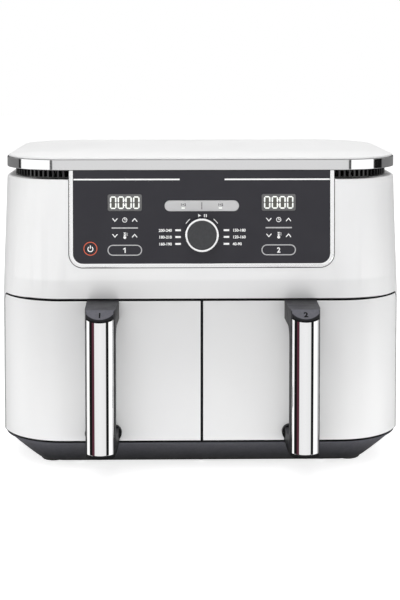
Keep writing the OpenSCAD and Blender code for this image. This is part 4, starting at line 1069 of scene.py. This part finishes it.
# Places on the panel's face: x from its middle, v up from the seam.
LINE_V = 120.7
LINE_ENDS = ((-129.0, -22.3), (23.0, 129.0))
TIME_V = 80.0
RULE_V = 71.9
HEAT_V = 64.1
ARROW_X = 9.9
ARROW_HALF = 2.3
ARROW_RISE = 1.4
ZONE_V = 49.5
POWER_X = -112.1
POWER_V = 51.1
DIAL_ARC_R = 19.6
PLAY_R = 18.9
PLAY_TURN = math.radians(97)
PAUSE_X = (2.6, 4.5)
MODE_V = (69.5, 62.7, 55.7)
LEFT_RANGES = ("200-240", "180-210", "160-190")
RIGHT_RANGES = ("150-180", "120-160", "40-90")
THIN = 0.9


def draw_arrows(ink, x, v):
    """A down arrow and an up arrow, left and right of a column's icon."""
    for way in (-1, 1):
        tip = x + way * ARROW_X
        rise = way * ARROW_RISE
        ink.stroke([(tip - ARROW_HALF, v - rise), (tip, v + rise), (tip + ARROW_HALF, v - rise)], THIN)


def draw_clock(ink, x, v):
    """A clock with two hands."""
    ink.ring(x, v, 2.5, 0.6)
    ink.stroke([(x, v + 1.6), (x, v), (x + 1.3, v)], 0.55)


def draw_thermometer(ink, x, v):
    """A thermometer with a filled bulb and three marks."""
    ink.pill(x, v + 1.0, 1.9, 4.6, 0.5)
    ink.disc(x, v - 1.7, 1.5)
    ink.rect(x, v - 0.2, 0.7, 2.6)
    for rise in (0.3, 1.4, 2.5):
        ink.rect(x + 2.2, v + rise, 1.1, 0.4)


def draw_zone_numbers(ink):
    """The figures 1 and 2 in the zone keys."""
    x = -DISPLAY_X
    ink.stroke([(x - 1.4, ZONE_V + 1.1), (x + 0.2, ZONE_V + 2.1)], THIN)
    ink.rect(x + 0.3, ZONE_V - 0.1, 1.0, 5.4)
    ink.text("2", DISPLAY_X, ZONE_V, 5.2, 0.2)


def draw_power_key(ink, red):
    """A power sign in a red ring."""
    red.ring(POWER_X, POWER_V, 7.0, THIN)
    ink.ring(POWER_X, POWER_V - 0.4, 3.0, THIN, 125, 415, 30)
    ink.rect(POWER_X, POWER_V + 1.7, THIN, 3.4)


def draw_dial_marks(ink):
    """Two arcs over the dial, with play and pause signs between them."""
    for start, stop in ((34, 52), (128, 146)):
        ink.ring(0, DIAL_V, DIAL_ARC_R, 0.7, start, stop, 10)
    x = PLAY_R * math.cos(PLAY_TURN)
    v = DIAL_V + PLAY_R * math.sin(PLAY_TURN)
    ink.shape([(x - 1.3, v - 1.6), (x + 1.6, v), (x - 1.3, v + 1.6)])
    for x in PAUSE_X:
        ink.rect(x, DIAL_V + 18.6, 1.0, 3.0)


def draw_modes(ink):
    """Six modes beside the dial, each a bar and its range in degrees."""
    for v, left, right in zip(MODE_V, LEFT_RANGES, RIGHT_RANGES):
        ink.rect(-23.9, v, 5.6, 1.9)
        ink.rect(24.8, v, 5.6, 1.9)
        ink.text(left, -30.2, v, 2.9, 0.1, "RIGHT")
        ink.text(right, 31.0, v, 2.9, 0.1, "LEFT")


def make_panel_marks():
    """Printed keys, lines and icons of the panel."""
    ink = Marks()
    grey = Marks()
    red = Marks()
    for x0, x1 in LINE_ENDS:
        ink.rect((x0 + x1) / 2, LINE_V, x1 - x0, 1.5)
    for side, sign in SIDES:
        centre = sign * DISPLAY_X
        draw_arrows(ink, centre, TIME_V)
        draw_arrows(ink, centre, HEAT_V)
        draw_clock(ink, centre, TIME_V)
        draw_thermometer(ink, centre, HEAT_V)
        grey.rect(centre, RULE_V, 26.4, 1.3)
        grey.pill(centre, ZONE_V, 34.8, 11.0, 1.0)
    draw_zone_numbers(ink)
    draw_power_key(ink, red)
    draw_dial_marks(ink)
    draw_modes(ink)
    ink.finish("panel_print", INK)
    grey.finish("panel_print_grey", GREY_INK)
    red.finish("panel_print_red", RED_INK)


BEZEL_FLANGE = 3.0
BEZEL_HALF = box_mm("panel_bezel")[1].x - BEZEL_FLANGE
BEZEL_R = 14.0
BEZEL_LOW_V = 32.0
GROOVE_TOP_V = 120.5
GROOVE_W = 0.7


def paint_bezel_groove_shade():
    """Painted shade of the gap between the bezel and the shell that holds it: a thin near-black ring."""
    groove = Marks()

    def loop(out):
        half = BEZEL_HALF + out
        r = BEZEL_R + out
        left = [(-half, GROOVE_TOP_V)] + arc((-half + r, BEZEL_LOW_V - out + r), r, 180, 270, 12)
        return left + [(-x, v) for x, v in left[::-1]]

    groove.band(loop(GROOVE_W), loop(0.0), closed=False)
    groove.finish("bezel_groove_shade", SEAM_SHADE_AND_GRIP_RIM, slot="panel_bezel")


ROCKER_OUT = 0.7
ROCKER_X = 18.7


def make_rocker_marks():
    """Divider, figures and light windows on the rocker key."""
    dark = Marks(ROCKER_OUT)
    lit = Marks(ROCKER_OUT)
    dark.rect(0, ROCKER_V, 0.6, 7.0)
    for x, words in ((-ROCKER_X, "1+2"), (ROCKER_X, "1=2")):
        dark.text(words, x, ROCKER_V + 1.3, 2.6, 0.05)
        lit.rect(x, ROCKER_V - 2.2, 3.4, 1.2)
    dark.finish("rocker_print", DARK_INK, "rocker", "mode_rocker")
    lit.finish("rocker_lights", LIT, "rocker", "mode_rocker")


# ---------- dial ----------

DIAL_R = 16.75
DIAL_OUT = 12.0
RING_T = 2.1
RING_ROLL = 0.7
RING_H = 3.6
FLUTES = 36
FLUTE_SHARE = 0.018


def flute(a):
    """Share by which the knob's side is cut in at an angle."""
    return FLUTE_SHARE * (0.5 + 0.5 * math.cos(FLUTES * a)) ** 2


def dial_lathe(name, profile, steps, wave=None):
    """A form turned about the dial's axis from (radius, out) pairs; wave cuts in its side by angle."""
    verts = []
    for radius, out in profile:
        is_side = wave and out < DIAL_OUT - RING_H + 0.1
        for i in range(steps):
            a = 2 * math.pi * i / steps
            r = radius * (1 - wave(a)) if is_side else radius
            verts.append(on_face(r * math.cos(a), DIAL_V + r * math.sin(a), out))
    obj = add_mesh(name, verts, grid_faces(len(profile), steps, wrap=True))
    sharpen(obj, 40)
    return obj


def make_dial_ring():
    """A bright turned ring round the dial's face."""
    inner = DIAL_R - RING_T
    bend = DIAL_R - RING_ROLL
    profile = [(inner, 2.6), (inner, 0.55), (inner + 0.15, 0.15), (inner + 0.5, 0), (bend, 0)]
    for degrees in (20, 40, 60, 80, 90):
        a = math.radians(degrees)
        profile.append((bend + RING_ROLL * math.sin(a), RING_ROLL * (1 - math.cos(a))))
    profile += [(DIAL_R, 3.2), (DIAL_R - 0.3, RING_H - 0.05), (inner, RING_H), (inner, 2.6)]
    obj = dial_lathe("dial_ring", [(radius, DIAL_OUT - down) for radius, down in profile], 128)
    place(obj, "dial", "dial_ring", RING, "dial_ring")


def make_dial_knob():
    """A soft dark knob with a slightly dished face and a fluted side."""
    side = DIAL_R - RING_ROLL
    face = [(0.01, 1.0), (5, 0.98), (10, 0.92), (13.4, 0.8), (14.0, 0.82), (14.4, 1.0), (14.55, 1.3),
            (14.55, 3.4), (side - 0.4, RING_H + 0.02), (side, RING_H + 0.3)]
    profile = [(radius, DIAL_OUT - down) for radius, down in face]
    profile += [(side, 2.2), (side - 0.4, 1.7), (3.1, 1.7)]
    obj = dial_lathe("dial_knob", profile, 216, flute)
    place(obj, "dial", "dial_knob", KNOB, "dial_knob")


# ---------- numbers on the handles ----------

def make_handle_numbers():
    """A figure let into each handle's sloping cap."""
    slope = Matrix.Rotation(math.atan2(CAP_DROP, CAP_RUN), 4, "X")
    y = GRIP_FRONT + CAP_RUN * 0.42
    z = HANDLE_HIGH.z - CAP_DROP * 0.58 + 0.08
    for (side, sign), figure in zip(SIDES, "12"):
        turn = Matrix.Translation(Vector((sign * HANDLE_X, y, z))) @ slope
        points, faces = figure_mesh(figure, 6.2, 0.3, 12, align_y="CENTER", thick=0.05)
        obj = add_mesh("cap_figure_" + side, [turn @ p for p in points], faces, smooth=False)
        place(obj, side + "_drawer", "handle_frame", DARK_INK)


# ---------- the scene ----------

for side_name, side_sign in SIDES:
    make_drawer_front(side_name, side_sign)
    make_handle_cover(side_name, side_sign)
make_band()
make_cover()
make_displays()
make_panel_marks()
paint_bezel_groove_shade()
make_rocker_marks()
make_dial_ring()
make_dial_knob()
make_handle_numbers()

soften_nodes()
finish_nodes()
make_camera()
make_world()
make_lights()
make_floor()
bpy.context.scene.view_settings.view_transform = "Standard"
